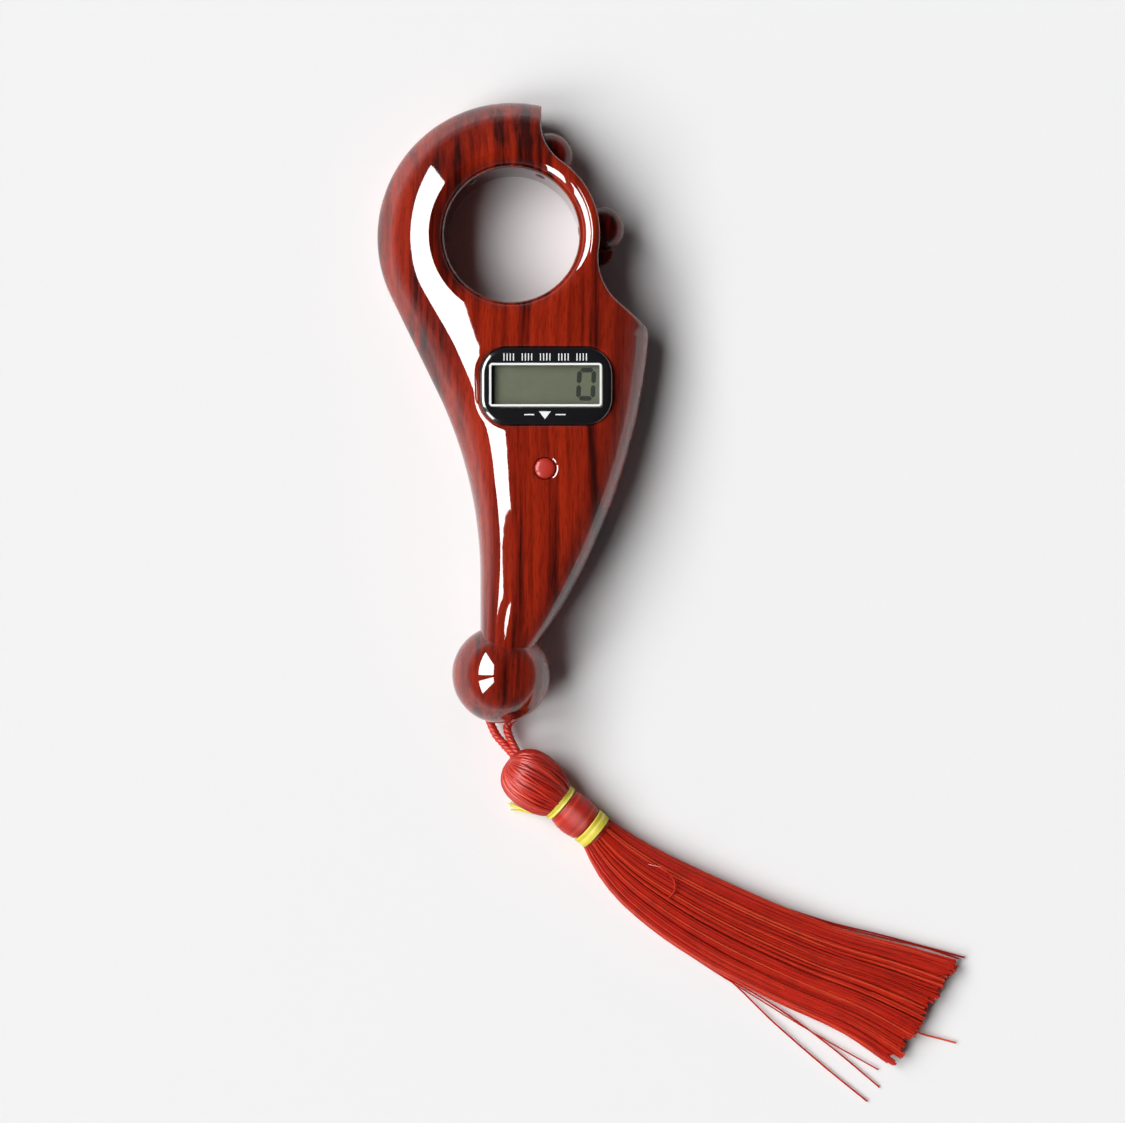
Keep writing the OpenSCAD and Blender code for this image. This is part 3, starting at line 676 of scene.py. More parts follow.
def cavity(wall, z0, z1, bosses=()):
    """Space for the electronics between z0 and z1, less the bosses that stand in it."""
    space = cutter(prism(shape_inset(wall), z0, z1))
    window = cutter(prism(np.array([(-40, -60), (40, -60), (40, -14), (-40, -14)]), z0 - 1, z1 + 1))
    boolean(space, window, "INTERSECT")
    boolean(space, drum(PARTITION_R, z0 - 2, z1 + 2, AROUND))
    for x, y, r in bosses:
        boolean(space, drum(r, z0 - 3, z1 + 3, 32, (x, y)))
    return space


def track(z0, z1):
    """Ring-shaped space in which the wheel turns."""
    r = LINER_R - SLACK
    return cutter(lathe([(r, z0), (TRACK_R, z0), (TRACK_R, z1), (r, z1)], AROUND))


def across(profile, n):
    """Cutter lathed about the cord's bridge, which lies along X through the ball."""
    b = lathe(profile, n)
    b.v = [(BALL[0] + v[2], BRIDGE[0] + v[0], BRIDGE[1] + v[1]) for v in b.v]
    return cutter(b)


BOSS_R = 2.1
bosses = [(x, y, BOSS_R) for x, y in SCREWS]
front = front_shell()
boolean(front, cutter(half_ball(1)), "UNION")
boolean(front, track(HALF_T - 1, HALF_T + TRACK_HALF))
boolean(front, cavity(4.2, HALF_T - 1, FACE_UNDER - 1, bosses))
boolean(front, cavity(5.6, HALF_T + 3, FACE_UNDER))
clean(front)
shade(front, 33)
stand_in(front, "front_shell")


# ---- casing, rear half
BACK_R, BACK_POWER = 2.7, 0.86
# The back rises towards the ball, over this height, from this y on and over this length
RISE_H, RISE_FROM, RISE_OVER = 1.5058, -42, 24
# Profiles (radius, height) cut for the battery cap and its cell, and for a screw and its head
CAP_SEAT = [(0, -1), (7.85, -1), (7.6, 0.18), (7.6, 1), (6.7, 1), (6.7, 1.8), (7.8, 1.8), (7.8, 2.9),
            (6.1, 2.9), (6.1, 8.5), (0, 8.5)]
CELL_WALL_R = 8.6
SCREW_SEAT = [(0, -1), (1.95, -1), (1.75, 0.15), (1.75, 3.2), (0.85, 3.2), (0.85, 8.6), (0, 8.6)]
# The bridge's hole, and the slot on each side of it, where the cord comes out
BRIDGE_HOLE = [(0, -9), (0.9, -9), (0.9, 9), (0, 9)]
CORD_SLOT = [(0, 1.4), (2.9, 1.4), (3.3, 1.8), (3.3, 9), (0, 9)]
# Low round foot below the lower bead
FOOT = [(0, 0.5), (1.9, 0.5), (2.2, 0.7), (2.3, 1.1), (2.3, 2.3), (2.15, 2.65), (1.7, 2.8), (0, 2.8)]
FOOT_AT = (14, -1.7)


def back_rise(xy):
    return RISE_H * np.clip((RISE_FROM - xy[:, 1]) / RISE_OVER, 0, 1) ** 2


def rear_shell():
    b = Builder()
    rings = [b.ring(outline(SEAM, CUT), HALF_T)]
    for a in range(0, 91, 9):
        xy = outline(BACK_R * (1 - math.cos(rad(a))), CUT)
        s = math.sin(rad(a))
        rings.append(b.ring(xy, (HALF_T - SEAM) * (1 - s ** BACK_POWER) + s * back_rise(xy)))
    b.chain(rings)
    seat = circle(0, 0, LINER_R, AROUND)
    bore = [b.ring(seat, 0), b.ring(seat, HALF_T)]
    b.chain(bore)
    pts = grid_points(b.outline(rings[-1]), [seat], 1.2, 0.5)
    b.fill(rings[-1], bore[:1], pts, back_rise(pts))
    b.fill(rings[0], bore[1:])
    return make("shell_rear", b, mat=WOOD_BACK)


rear = rear_shell()
boolean(rear, cutter(half_ball(-1)), "UNION")
boolean(rear, track(HALF_T - TRACK_HALF, HALF_T + 1))
boolean(rear, cavity(2.2, 1.8, HALF_T + 1, bosses + [(*CELL, CELL_WALL_R)]))
boolean(rear, cutter(lathe(CAP_SEAT, 96, CELL)))
for at in SCREWS:
    boolean(rear, cutter(lathe(SCREW_SEAT, 40, at)))
boolean(rear, across(BRIDGE_HOLE, 32))
for side in (-1, 1):
    boolean(rear, across([(r, side * z) for r, z in CORD_SLOT], 48))
boolean(rear, cutter(lathe(FOOT, 40, FOOT_AT)), "UNION")
clean(rear)
shade(rear, 33)
stand_in(rear, "rear_shell")

SLEEVE_PROFILE = [(FINGER_R + 0.35, 0), (LINER_R - 0.03, 0), (LINER_R - 0.03, LINER_TOP - SLACK),
                  (FINGER_R, LINER_TOP - SLACK), (FINGER_R, 0.35), (FINGER_R + 0.1, 0.1)]
# The sleeve's wood colours are darker than the face's: painted shade of the inside of the finger hole.
SLEEVE = gloss_wood("wood_sleeve_painted_shade", srgb(118, 28, 15), srgb(48, 10, 6), srgb(134, 34, 18), 1.38)
liner = make("finger_sleeve", lathe(SLEEVE_PROFILE, AROUND), mat=SLEEVE)
stand_in(liner, "finger_liner")


# ---- more materials
def grained(name, dark, light, rough=(0.3, 0.45), scale=700, bump=0.15, metallic=0, coat=0,
            stretch=WHITE[:3], spec=0.5):
    """Moulded, cut or plated surface: two tones, uneven sheen and a fine relief."""
    m, nt, bsdf = material(name)
    at = coords(nt, stretch)
    col = node(nt, "ShaderNodeMixRGB")
    col.inputs[1].default_value = dark
    col.inputs[2].default_value = light
    link(nt, noise(nt, at, scale * 0.35, 5, 0.6), "Fac", col, 0)
    link(nt, col, 0, bsdf, "Base Color")
    link(nt, spread(nt, noise(nt, at, scale * 0.12, 4), *rough), 0, bsdf, "Roughness")
    relief(nt, noise(nt, at, scale, 3), bump, 0.0001, bsdf)
    settings(bsdf, Metallic=metallic, Coat_Weight=coat, Coat_IOR=1.6, Coat_Roughness=0.04,
             Specular_IOR_Level=spec)
    return m


def silk(name, dark, mid, light, rough, sheen):
    """Threads: each has its own tone, with slubs along it."""
    m, nt, bsdf = material(name)
    own = node(nt, "ShaderNodeAttribute", attribute_name="strand")
    tone = ramp_node(nt, [(0, dark), (0.35, mid), (0.8, mid), (1, light)])
    link(nt, own, "Fac", tone, 0)
    slub = ramp_node(nt, [(0.3, grey(0.72)), (0.6, WHITE)])
    link(nt, noise(nt, coords(nt), 420, 4), "Fac", slub, 0)
    link(nt, multiply(nt, 0.6, tone, slub), 0, bsdf, "Base Color")
    relief(nt, noise(nt, coords(nt), 6000), 0.25, 0.00005, bsdf)
    settings(bsdf, Roughness=rough, Sheen_Weight=sheen, Sheen_Roughness=0.35, Sheen_Tint=light,
             Specular_IOR_Level=0.5)
    return m


def clear_window(name):
    """A clear pane that mirrors only at its outer face; seen from inside it would mirror too soon."""
    m, nt, bsdf = material(name)
    see = node(nt, "ShaderNodeBsdfTransparent", Color=(0.93, 0.94, 0.93, 1))
    gloss = node(nt, "ShaderNodeBsdfGlossy")
    link(nt, spread(nt, noise(nt, coords(nt), 900, 5), 0.01, 0.05), 0, gloss, "Roughness")
    fres = node(nt, "ShaderNodeFresnel", IOR=1.45)
    outer_only = node(nt, "ShaderNodeMath", operation="SUBTRACT", use_clamp=True)
    link(nt, fres, 0, outer_only, 0)
    link(nt, node(nt, "ShaderNodeNewGeometry"), "Backfacing", outer_only, 1)
    mix = node(nt, "ShaderNodeMixShader")
    link(nt, outer_only, 0, mix, 0)
    link(nt, see, 0, mix, 1)
    link(nt, gloss, 0, mix, 2)
    link(nt, mix, 0, nt.nodes["Material Output"], "Surface")
    nt.nodes.remove(bsdf)
    return m


BEAD = gloss_wood("bead_gloss", srgb(100, 17, 10), srgb(50, 8, 6), srgb(118, 22, 13), 1.4)
BEZEL = grained("lens_black", grey(0.004, 0.001), grey(0.01, 0.002), (0.12, 0.2), 300,
                0.02, coat=1)
INK_WHITE = grained("ink_white", srgb(226, 228, 228), srgb(240, 240, 240), (0.4, 0.5), 3000, 0.05)
INK_DARK = grained("lcd_segment", srgb(34, 38, 33), srgb(48, 52, 46), (0.3, 0.4), 3000, 0.03)
BUTTON_RED = grained("button_red", srgb(170, 32, 18), srgb(186, 40, 22), (0.4, 0.5), 600, 0.12,
                     coat=0.25, spec=0.2)
LOOKS = {
    "wheel_carrier": grained("wheel_plastic", srgb(84, 14, 10), srgb(112, 20, 14), (0.25, 0.4), coat=0.6),
    "battery_cap": grained("cap_plastic", srgb(104, 22, 14), srgb(128, 30, 18), (0.28, 0.42), coat=0.4),
    "detent_spring": grained("spring_steel", grey(0.55, -0.02), grey(0.72, -0.02), (0.22, 0.38),
                             1500, 0.1, 1, stretch=(0.1, 1, 1)),
    "lcd_glass": grained("lcd_glass", srgb(112, 116, 96), srgb(125, 129, 108), (0.25, 0.35), 2500, 0.03),
    "lcd_frame": grained("frame_plastic", srgb(205, 205, 198), srgb(222, 222, 216), (0.5, 0.65)),
    "zebra_strip": grained("zebra_rubber", srgb(190, 128, 132), srgb(60, 40, 42), (0.7, 0.85), 5000,
                           0.2, stretch=(1, 0.05, 0.05)),
    "circuit_board": grained("board_green", srgb(22, 84, 40), srgb(34, 104, 52), (0.3, 0.5), 1200, 0.2),
    "chip_blob": grained("resin_black", grey(0.008), grey(0.02), (0.12, 0.3),
                         400, 0.25, coat=0.6),
    "crystal_can": grained("can_metal", grey(0.6, 0.02), grey(0.74, 0.02), (0.25, 0.4), 1400,
                           0.1, 1, stretch=(1, 1, 0.1)),
    "board_chips": grained("chip_ceramic", srgb(168, 148, 118), srgb(186, 166, 134), (0.6, 0.75), 3000),
    "button_cell": grained("cell_steel", grey(0.68), grey(0.82, -0.01), (0.12, 0.25),
                           900, 0.06, 1),
    "cap_seal": grained("seal_rubber", grey(0.02), grey(0.04), (0.65, 0.85)),
    "shell_screws": grained("screw_steel", grey(0.46, 0.02), grey(0.66, 0.02), (0.25, 0.45),
                            1500, 0.15, 1),
}
for name in ("count_spring", "count_contact", "reset_dome", "cell_contact_plus", "cell_contact_minus"):
    LOOKS[name] = LOOKS["detent_spring"]
LOOKS["board_screws"] = LOOKS["shell_screws"]
for name, mat in LOOKS.items():
    NODES[name].data.materials.clear()
    NODES[name].data.materials.append(mat)
for name, width in (("battery_cap", 0.12), ("shell_screws", 0.08), ("wheel_carrier", 0.1)):
    soft_edge = NODES[name].modifiers.new("soft_edge", "BEVEL")
    soft_edge.width = width * MM
    soft_edge.segments = 3
    soft_edge.limit_method = "ANGLE"
    soft_edge.angle_limit = rad(40)


# ---- display
LENS_RIM, RIM_DROP = 0.8, 0.45
LENS_Z = 15.45
LENS_PLAY = 0.06


def display_lens():
    b = Builder()
    view = rounded_rect(*LENS[:2], *VIEW, **VIEW_PARTS)
    rings = [b.ring(rounded_rect(*LENS, grow=-LENS_PLAY), LENS_FLOOR)]
    for a in range(0, 91, 10):
        q = LENS_PLAY + LENS_RIM * (1 - math.cos(rad(a)))
        rings.append(b.ring(rounded_rect(*LENS, grow=-q), LENS_Z - RIM_DROP * (1 - math.sin(rad(a)))))
    b.chain(rings)
    top_view = b.ring(view, LENS_Z)
    b.fill(rings[-1], [top_view])
    low_view = b.ring(view, LENS_FLOOR)
    b.fill(rings[0], [low_view])
    b.f += [tuple(top_view), tuple(low_view)]
    ob = make("lens_bezel", b, mat=BEZEL, smooth=40)
    ob.data.materials.append(clear_window("lens_window"))
    for poly in ob.data.polygons:
        if len(poly.vertices) == len(view):
            poly.material_index = 1
    return ob


stand_in(display_lens(), "display_lens")


INK = 0.02


def prints(name, shapes, z, mat):
    """Flat printed shapes, each a list of closed loops: one outer edge and its holes."""
    b = Builder()
    for loops in shapes:
        lows, highs = [], []
        for lp in loops:
            lows.append(b.ring(lp, z))
            highs.append(b.ring(lp, z + INK))
            b.join(lows[-1], highs[-1])
        b.fill(lows[0], lows[1:])
        b.fill(highs[0], highs[1:])
    return make(name, b, mat=mat, smooth=None)


def stroke(p, q, w, taper=0):
    """A straight bar from p to q, its ends pointed by taper."""
    p, q = Vector(p), Vector(q)
    d = (q - p).normalized()
    n = Vector((-d.y, d.x)) * w / 2
    e = d * taper
    ends = ([q], [p]) if taper else ([], [])
    return [np.array([p + e - n, q - e - n, *ends[0], q - e + n, p + e + n, *ends[1]])]


OUTLINE = (5.39, -24.1, 17.9, 6.9, 0.5)
LINE_W = 0.34
marks = [[rounded_rect(*OUTLINE), rounded_rect(*OUTLINE, grow=-LINE_W)]]
# Tally strokes above the window: five groups of four uprights
TALLY_X, TALLY_Y, TALLY_H, TALLY_W = -1.2, -19.7, 1.15, 0.17
GROUP_STEP, STROKE_STEP = 2.9, 0.5
for group in range(5):
    for k in range(4):
        x = TALLY_X + GROUP_STEP * group + STROKE_STEP * k
        marks.append(stroke((x, TALLY_Y - TALLY_H / 2), (x, TALLY_Y + TALLY_H / 2), TALLY_W))
# A triangle between two dashes below it, pointing at the reset button
POINTER_Y, POINTER_H, POINTER_HALF = -28.95, 0.62, 0.95
DASH_FROM, DASH_TO, DASH_W = 1.7, 3.3, 0.18
px = BUTTON[0]
marks.append([np.array([(px - POINTER_HALF, POINTER_Y + POINTER_H), (px, POINTER_Y - POINTER_H),
                        (px + POINTER_HALF, POINTER_Y + POINTER_H)])])
for side in (-1, 1):
    marks.append(stroke(*((px + side * x, POINTER_Y + 0.1) for x in (DASH_FROM, DASH_TO)), DASH_W))
prints("lens_print", marks, LENS_Z + 0.004, INK_WHITE)

# A zero: six of the seven bars of a digit, leaning slightly
DIGIT = (10.6, -26.2, 2.3, 4.5)
BAR, BAR_GAP, SLANT = 0.74, 0.1, 0.05
dx0, dy0, dw, dh = DIGIT


def slanted(p):
    return (p[0] + SLANT * (p[1] - dy0), p[1])


mid = dy0 + dh / 2
bars = []
for x in (dx0, dx0 + dw):
    bars += [((x, dy0 + BAR_GAP), (x, mid - BAR_GAP)), ((x, mid + BAR_GAP), (x, dy0 + dh - BAR_GAP))]
for y in (dy0, dy0 + dh):
    bars.append(((dx0 + BAR_GAP, y), (dx0 + dw - BAR_GAP, y)))
digit = prints("lcd_digit", [stroke(slanted(p), slanted(q), BAR, BAR * 0.45) for p, q in bars],
               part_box("lcd_glass")[1].z / MM + 0.01, INK_DARK)

# ---- reset button
# Foot, stem and flange under the face, then the crown with its rounded edge
lo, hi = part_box("reset_button")
base, crown = lo.z / MM, hi.z / MM
br = BUTTON[2]
flange_r = (hi.x - lo.x) / 2 / MM
flange_top = FACE_UNDER - 0.05
profile = [(0, base), (0.9, base), (1, base + 0.1), (flange_r - 0.1, flange_top - 0.75),
           (flange_r, flange_top - 0.65), (flange_r, flange_top - 0.1), (flange_r - 0.1, flange_top),
           (br, flange_top), (br, crown - 0.42), (br - 0.04, crown - 0.3), (br - 0.13, crown - 0.2),
           (br - 0.27, crown - 0.12), (br * 0.6, crown - 0.05), (br * 0.3, crown - 0.012), (0, crown)]
button = make("button_crown", lathe(profile, 64, BUTTON[:2]), "reset_button", BUTTON_RED, 40)
stand_in(button, "reset_button")

# ---- beads
ORBIT, BEAD_R = 14.4, 3.75
# Angle of the first bead, and the latitude at which a bead is closed by a point
PHASE, POLE = 5.5, 84
BEADS = 6


def beads():
    b = Builder()
    for k in range(BEADS):
        c = on((0, 0), ORBIT, PHASE + 360 / BEADS * k)
        rings = [b.ring(circle(*c, BEAD_R * math.cos(t), 56), HALF_T + BEAD_R * math.sin(t))
                 for t in np.radians(np.linspace(-POLE, POLE, 29))]
        b.chain([b.ring([c], HALF_T - BEAD_R)] + rings + [b.ring([c], HALF_T + BEAD_R)])
    return make("beads_round", b, body="bead_wheel", mat=BEAD)


stand_in(beads(), "wheel_beads")


# ---- threads
def across_path(paths, ref):
    """Two unit directions across each path, square to one another; ref must not lie along it."""
    t = np.gradient(paths, axis=-2)
    t /= np.linalg.norm(t, axis=-1, keepdims=True)
    u = np.cross(t, ref)
    u /= np.linalg.norm(u, axis=-1, keepdims=True)
    return u, np.cross(u, t)


def tubes(name, paths, radii, body, mat, sides, ref=(0, 0, 1)):
    """One mesh of closed tubes along equal-length point rows, each with its own tone."""
    paths = np.asarray(paths, float)
    n, m = paths.shape[:2]
    u, w = across_path(paths, np.broadcast_to(np.asarray(ref, float), paths.shape))
    radii = np.broadcast_to(np.asarray(radii, float), (n, m))
    a = 2 * math.pi * np.arange(sides) / sides
    v = (paths[:, :, None] + radii[:, :, None, None]
         * (np.cos(a)[:, None] * u[:, :, None] + np.sin(a)[:, None] * w[:, :, None]))
    idx = np.arange(n * m * sides).reshape(n, m, sides)
    nxt = np.roll(idx, -1, axis=2)
    quads = np.stack([idx[:, :-1], nxt[:, :-1], nxt[:, 1:], idx[:, 1:]], -1).reshape(-1, 4)
    faces = quads.tolist() + idx[:, 0, ::-1].tolist() + idx[:, -1].tolist()
    me = bpy.data.meshes.new(name)
    me.from_pydata((v.reshape(-1, 3) * MM).tolist(), [], faces)
    me.update()
    attr = me.attributes.new("strand", "FLOAT", "POINT")
    attr.data.foreach_set("value", np.repeat(nprng.random(n), m * sides).astype(np.float32))
    ob = bpy.data.objects.new(name, me)
    scene.collection.objects.link(ob)
    shade(ob, 70)
    me.materials.append(mat)
    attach(ob, body)
    return ob


def spline(points, n):
    """Smooth row of n points through the given ones, evenly spread by length."""
    p = np.array(points, float)
    s = run(p)
    d = np.gradient(p, s, axis=0)
    q = np.linspace(0, s[-1], n)
    k = np.clip(np.searchsorted(s, q) - 1, 0, len(s) - 2)
    h = (s[k + 1] - s[k])[:, None]
    return hermite((q - s[k])[:, None] / h, h, p[k], p[k + 1], d[k], d[k + 1])


def plies(path, offset, pitch, count, phase):
    """Rows of points that wind around a path like the plies of a cord."""
    u, w = across_path(path, [0, 0, 1])
    out = []
    for k in range(count):
        a = (phase + 2 * math.pi * (run(path) / pitch + k / count))[:, None]
        out.append(path + offset * (np.cos(a) * u + np.sin(a) * w))
    return out


SILK_RED = silk("red_silk", srgb(160, 22, 10), srgb(192, 34, 12), srgb(222, 72, 38), 0.4, 0.15)
SILK_CORD = silk("red_cord", srgb(150, 20, 10), srgb(190, 34, 14), srgb(214, 58, 32), 0.5, 0.15)
SILK_YELLOW = silk("yellow_silk", srgb(196, 176, 36), srgb(232, 216, 62), srgb(246, 236, 120), 0.5, 0.2)

# Cord: a loop through the bridge in the ball, its two legs drawn together at the tassel
LEG, LEG_POINTS = 2.35, 110
PLIES, PLY_R, PLY_OFFSET, TWIST = 3, 0.37, 0.34, 2.3
bx, (by, bz) = BALL[0], BRIDGE
left_leg = [(bx, by, bz), (bx - LEG + 0.4, by, bz), (bx - LEG, by - 1.3, 3.6), (-3.6, -78.5, 2.9),
            (-2.8, -80.3, 2.7), (-1.2, -82.2, 3.2), (0.4, -84, 4.3), (1.4, -85.2, 4.9)]
right_leg = [(bx, by, bz), (bx + LEG - 0.4, by, bz), (bx + LEG + 0.5, by - 0.9, 3.5), (0.2, -77.7, 2.8),
             (-0.9, -79, 2.6), (-0.5, -80.9, 2.9), (0.5, -82.9, 3.9), (1.6, -85, 4.8)]
rows = []
for leg, phase in ((left_leg, 0), (right_leg, 1.1)):
    rows += plies(spline(leg, LEG_POINTS), PLY_OFFSET, TWIST, PLIES, phase)
stand_in(tubes("cord_twisted", rows, PLY_R, "cord", SILK_CORD, 8), "cord_loop")

# Tassel: all about its axis
YAW, PITCH = rad(-39.5), rad(-5.5)
AXIS = np.array([math.cos(YAW) * math.cos(PITCH), math.sin(YAW) * math.cos(PITCH), math.sin(PITCH)])
SIDE = np.cross(AXIS, [0, 0, 1])
SIDE /= np.linalg.norm(SIDE)
RISE = np.cross(SIDE, AXIS)
CENTRE = np.array(HEAD)


def around(t, r, a):
    """Points at t along the tassel's axis, r from it, at angle a."""
    t, r, a = np.broadcast_arrays(t, r, a)
    return (CENTRE + t[..., None] * AXIS
            + r[..., None] * (np.cos(a)[..., None] * SIDE + np.sin(a)[..., None] * RISE))


def core(name, ts, rs, n=64):
    """Closed red filling of radii rs at places ts along the tassel's axis."""
    a = np.linspace(0, 2 * math.pi, n, endpoint=False)
    b = Builder()
    rows = around(np.array(ts)[:, None], np.array(rs)[:, None], a[None])
    rings = [b.ring(row[:, :2], row[:, 2]) for row in rows]
    b.chain(rings)
    b.f += [tuple(rings[0]), tuple(rings[-1])]
    make(name, b, body="tassel", mat=SILK_RED)


# Both yellow bands, from and to, along the axis
BAND_1 = (4.84, 6.22)
BAND_2 = (11.23, 13.5)
# Head: threads run from the cord over the round head and in under the upper band
HEAD_THREADS, HEAD_LENGTH, HEAD_R, HEAD_THREAD_R = 96, 5.05, 4.42, 0.235
HEAD_A = 140
th = np.radians(np.linspace(3, HEAD_A, 30))
head_t = np.where(th < math.pi / 2, -HEAD_LENGTH * np.clip(np.cos(th), 0, 1) ** 0.8,
                  (BAND_1[0] + 0.1) * np.cos(th) / math.cos(rad(HEAD_A)))
head_r = HEAD_R * np.sin(th) ** 0.85
rows, refs = [], []
for k in range(HEAD_THREADS):
    a0 = 2 * math.pi * k / HEAD_THREADS + nprng.normal(0, 0.03)
    lift = nprng.normal(0, 0.07)
    wave = 0.06 * np.sin(th * nprng.uniform(1.5, 3) + nprng.uniform(0, 6))
    a = a0 + 0.42 * (th / th[-1]) ** 1.3 + wave
    rows.append(around(head_t, head_r + lift * np.sin(th), a))
    refs.append(np.broadcast_to(-np.sin(a0) * SIDE + np.cos(a0) * RISE, (len(th), 3)))
head = tubes("head_threads", rows, HEAD_THREAD_R, "tassel", SILK_RED, 6, np.array(refs))
stand_in(head, "tassel_head")
core("head_filling", head_t, np.maximum(head_r - 0.12, 0.05))


TURN_POINTS = 44


def winding(name, span, r, bulge, thread, pitch, mat):
    """A thread wound closely around the tassel's neck, its tone changing slowly along it."""
    length = span[1] - span[0] - 2 * thread
    turns = length / pitch
    s = np.linspace(0, 1, int(turns * TURN_POINTS))
    a = 2 * math.pi * turns * s
    t = span[0] + thread + length * s + 0.05 * np.sin(a * 0.13 + 1) * np.sin(math.pi * s)
    r = r + bulge * np.clip(np.sin(math.pi * s), 0, 1) ** 0.8 + 0.02 * np.sin(a * 0.37)
    ob = tubes(name, [around(t, r, a)], thread, "tassel", mat, 6, AXIS)
    tone = 0.5 + 0.5 * np.sin(a * 0.21) * np.cos(a * 0.047 + 2)
    ob.data.attributes["strand"].data.foreach_set("value", np.repeat(tone, 6).astype(np.float32))
    return ob


wrap = winding("neck_windings", (BAND_1[1], BAND_2[0]), 2.86, 0.42, 0.17, 0.25, SILK_RED)
stand_in(wrap, "tassel_wrap")
core("neck_filling", (BAND_1[0] - 0.4, BAND_1[1], 8.7, BAND_2[0], BAND_2[1] + 0.3),
     (2.8, 2.75, 3.1, 2.75, 2.8))
for where, span in (("upper", BAND_1), ("lower", BAND_2)):
    band = winding("band_windings_" + where, span, 2.98, 0, 0.21, 0.27, SILK_YELLOW)
    stand_in(band, "band_" + where)

# Loose end of the band's thread, frayed at its tip: its middle line, and how far the fibres spread
FRAY = np.array([(5.5, -93.3, 2.2), (3.8, -93.3, 1.3), (2, -92.95, 0.9), (0.7, -92.5, 0.7),
                 (-0.3, -92.15, 0.6)])
SPREAD = np.array([(0, 0, 0), (0.1, 0.12, 0.1), (0, 0.2, 0.15), (0.2, 0.4, 0.2), (0.6, 0.75, 0.25)])
rows = [spline(FRAY + SPREAD * nprng.uniform(-1, 1, 3), 24) for k in range(9)]
loose = tubes("band_thread_fray", rows, 0.13, "tassel", SILK_YELLOW, 5)
stand_in(loose, "band_thread_end")

# Skirt: single threads between an upper and a lower edge line, drawn together in locks
UPPER = [(14.85, -93.7), (16.1, -94.6), (23, -98.8), (30.9, -102.7), (44.8, -108.8), (55, -112.6),
         (63.5, -114.8), (73.2, -117.6)]
LOWER = [(11.35, -97.9), (11.8, -98.8), (12.9, -101.3), (16.1, -106), (22.5, -111.9), (30.3, -117.3),
         (41.6, -123.3), (54.5, -129.4), (62.6, -134.9)]
STRANDS, LOCKS, POINTS = 820, 23, 22
# Share by which threads are drawn into their lock, sideways sway and ripple in height
PULL, SWAY, RIPPLE = 0.3, 0.012, 0.12
# Thickness at the band and at the ends, slope down to the table, and room left above it
THICK, THICK_END, FALL, ROOM = 5.6, 3.4, 16, 0.2


def along(line, s):
    """Points at shares s of an evenly spaced row of points."""
    steps = np.linspace(0, 1, len(line))
    return np.column_stack([np.interp(s, steps, c) for c in line.T])


def skirt():
    up, low = spline(UPPER, 200), spline(LOWER, 200)
    start = CENTRE + (BAND_2[1] - 0.9) * AXIS
    u = nprng.random(STRANDS)
    v = nprng.random(STRANDS)
    near = np.minimum((u * LOCKS).astype(int), LOCKS - 1)
    lock = (near + 0.5) / LOCKS
    lock_len = 1 - np.abs(nprng.normal(0, 0.010, LOCKS))
    end = np.clip(lock_len[near] - np.abs(nprng.normal(0, 0.012, STRANDS)), 0.82, 1)
    rows = []
    for k in range(STRANDS):
        s = np.linspace(0, end[k], POINTS)
        pull = PULL * s ** 1.5
        uu = u[k] * (1 - pull) + lock[k] * pull
        uu += SWAY * s * np.sin(9 * s * nprng.uniform(0.6, 1.4) + nprng.uniform(0, 6))
        pu, pl = along(up, s), along(low, s)
        bow = np.sqrt(np.clip(1 - (2 * uu - 1) ** 2, 0, 1))
        height = THICK_END + (THICK - THICK_END) * (1 - s) ** 1.2
        mid_z = np.maximum(start[2] - FALL * s, 0.25 + height / 2)
        z = mid_z + height * bow * (v[k] - 0.5) + RIPPLE * np.sin(14 * s + nprng.uniform(0, 6)) * s
        rows.append(np.column_stack([pl + (pu - pl) * uu[:, None], np.maximum(z, ROOM)]))
    # threads that have come loose: two above, three below, one curled on top, one at the ends
    strays = [
        [(44, -108.6, 2.2), (52, -111.2, 1.6), (60, -113.2, 1), (67, -115.1, 0.6), (73.9, -117, 0.4)],
        [(44.5, -108.9, 2), (52.5, -111.6, 1.4), (60.5, -113.7, 0.9), (67.5, -115.4, 0.5), (73, -117.2, 0.3)],
        [(27, -115.2, 1.6), (32, -118.6, 1), (38.8, -122.9, 0.7), (50.6, -130.2, 0.4), (59.8, -135.4, 0.25)],
        [(27, -115, 1.4), (32.9, -118.6, 0.9), (43.2, -128.1, 0.5), (51, -134.9, 0.3), (58, -140.6, 0.25)],
        [(27.5, -115.5, 1.4), (33.4, -119.3, 0.9), (42, -124.4, 0.5), (52.5, -132, 0.3), (60, -138.3, 0.25)],
        [(22, -101.3, 5.3), (24.3, -101.9, 6), (26.2, -104, 6), (26.2, -105.6, 5.7), (25, -107.1, 5.1)],
        [(60, -126.5, 1), (64, -128.2, 0.6), (67.2, -129.6, 0.4), (69.5, -130.2, 0.3), (72.5, -131, 0.25)],
    ]
    rows += [spline(p, POINTS) for p in strays]
    radius = nprng.uniform(0.12, 0.17, len(rows))[:, None]
    return tubes("skirt_threads", rows, radius, "tassel", SILK_RED, 5)


stand_in(skirt(), "tassel_skirt")


# ---- floor, light, camera
def stage():
    r = 3
    me = bpy.data.meshes.new("floor")
    me.from_pydata([(-r, -r, 0), (r, -r, 0), (r, r, 0), (-r, r, 0)], [], [(0, 1, 2, 3)])
    ob = bpy.data.objects.new("floor", me)
    scene.collection.objects.link(ob)
    m, nt, bsdf = material("floor_paper")
    settings(bsdf, Base_Color=grey(0.86), Roughness=0.9, Specular_IOR_Level=0)
    relief(nt, noise(nt, coords(nt), 60, 6), 0.04, 0.0002, bsdf)
    me.materials.append(m)
    # just under the part, so that the two never share a plane
    ob.location.z = -0.0002


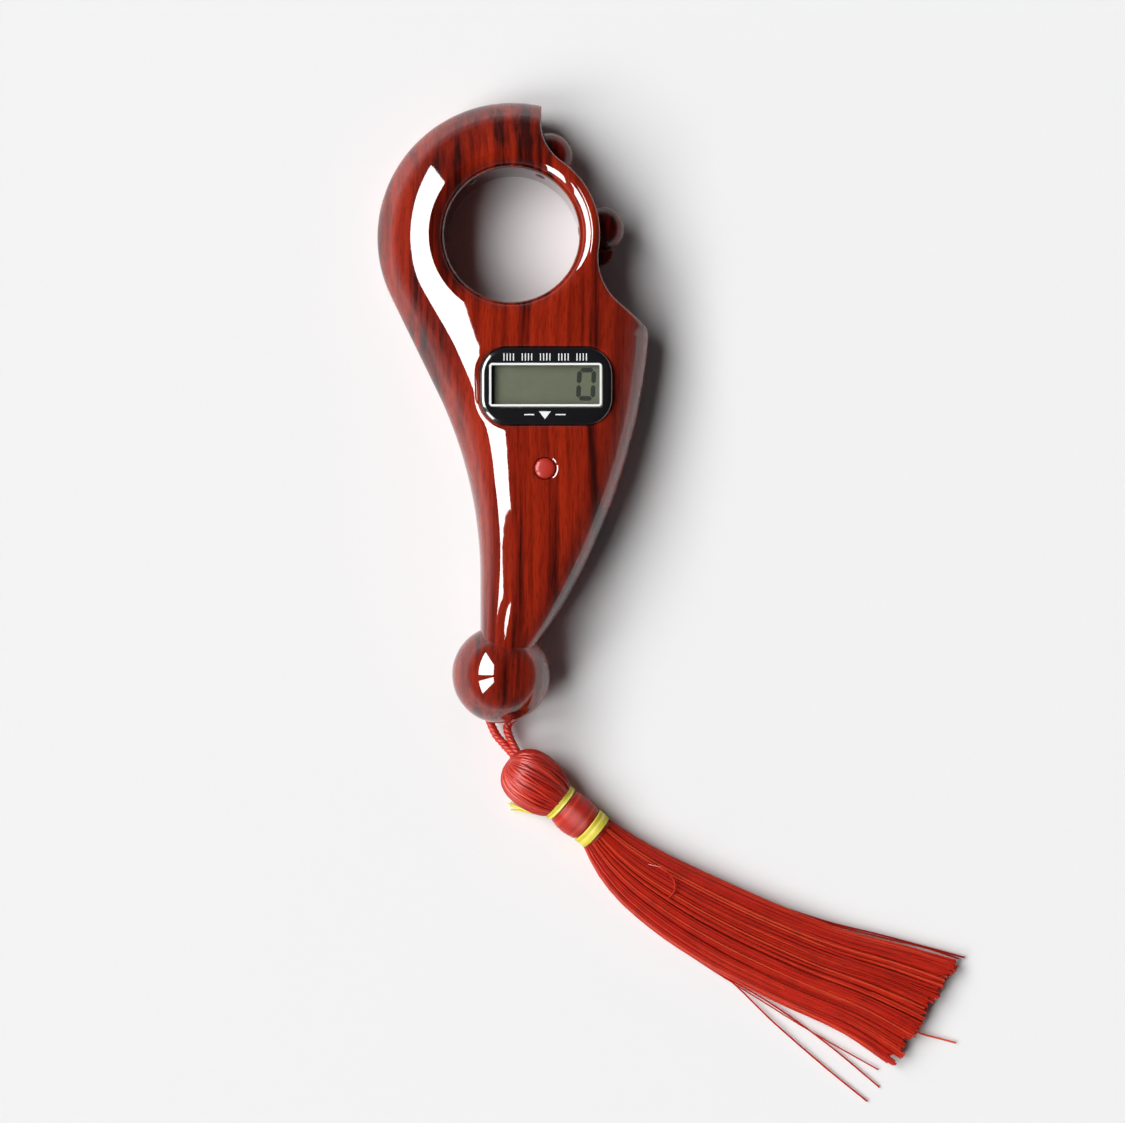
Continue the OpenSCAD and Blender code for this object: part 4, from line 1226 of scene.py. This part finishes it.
# The window at the left, seen from the part: its lower and upper edge as shares of its distance
SILL, LINTEL = 0.75, 3.3
FAR, NEAR, NEAR_LIFT = 2.6, 0.15, 0.01
FAR_POWER, NEAR_POWER = 24, 44


def pane(name, distance, lift, y0, y1, power):
    """One upright lamp of the window, power in watts per square metre."""
    z0, z1 = SILL * distance + lift, LINTEL * distance + lift
    li = bpy.data.lights.new(name, "AREA")
    li.shape = "RECTANGLE"
    li.size, li.size_y = y1 - y0, z1 - z0
    li.energy = power * (y1 - y0) * (z1 - z0)
    ob = bpy.data.objects.new(name, li)
    ob.location = (-distance, (y0 + y1) / 2, (z0 + z1) / 2)
    ob.rotation_euler = Vector((1, 0, 0)).to_track_quat("-Z", "Y").to_euler()
    scene.collection.objects.link(ob)
    return ob


def lights():
    # far panes light the surfaces; near ones are only seen as highlights on glossy surfaces
    for name, y0, y1 in (("pane_a", -0.1, 1), ("pane_b", -1.1, -0.35)):
        pane(name, FAR, 0, FAR * y0, FAR * y1, FAR_POWER).visible_glossy = False
    for name, y0, y1 in (("glint_a", -0.069, 0.15), ("glint_b", -0.223, -0.112)):
        pane(name, NEAR, NEAR_LIFT, y0, y1, NEAR_POWER).visible_diffuse = False
    scene.world = bpy.data.worlds.new("studio")
    scene.world.use_nodes = True
    nt = scene.world.node_tree
    bg = nt.nodes["Background"]
    sep = node(nt, "ShaderNodeSeparateXYZ")
    link(nt, node(nt, "ShaderNodeTexCoord"), "Generated", sep, 0)
    # the room is bright near the horizon and dark above; the side away from the window is darker
    sky = ramp_node(nt, [(0, grey(0.85)), (0.10, grey(0.42, 0.01)), (0.30, grey(0.10, 0.003)),
                         (1, grey(0.015, 0.002))])
    fade = node(nt, "ShaderNodeMapRange", From_Min=-1, To_Min=1.3, To_Max=0.35)
    link(nt, sep, "Z", sky, 0)
    link(nt, sep, "X", fade, 0)
    link(nt, sky, 0, bg, "Color")
    link(nt, fade, 0, bg, "Strength")


def camera():
    cam = bpy.data.cameras.new("camera")
    cam.sensor_width = 36
    cam.lens = 100.8
    ob = bpy.data.objects.new("camera", cam)
    ob.location = (8.1 * MM, -52.2 * MM, 516 * MM)
    scene.collection.objects.link(ob)
    scene.camera = ob


stage()
lights()
camera()
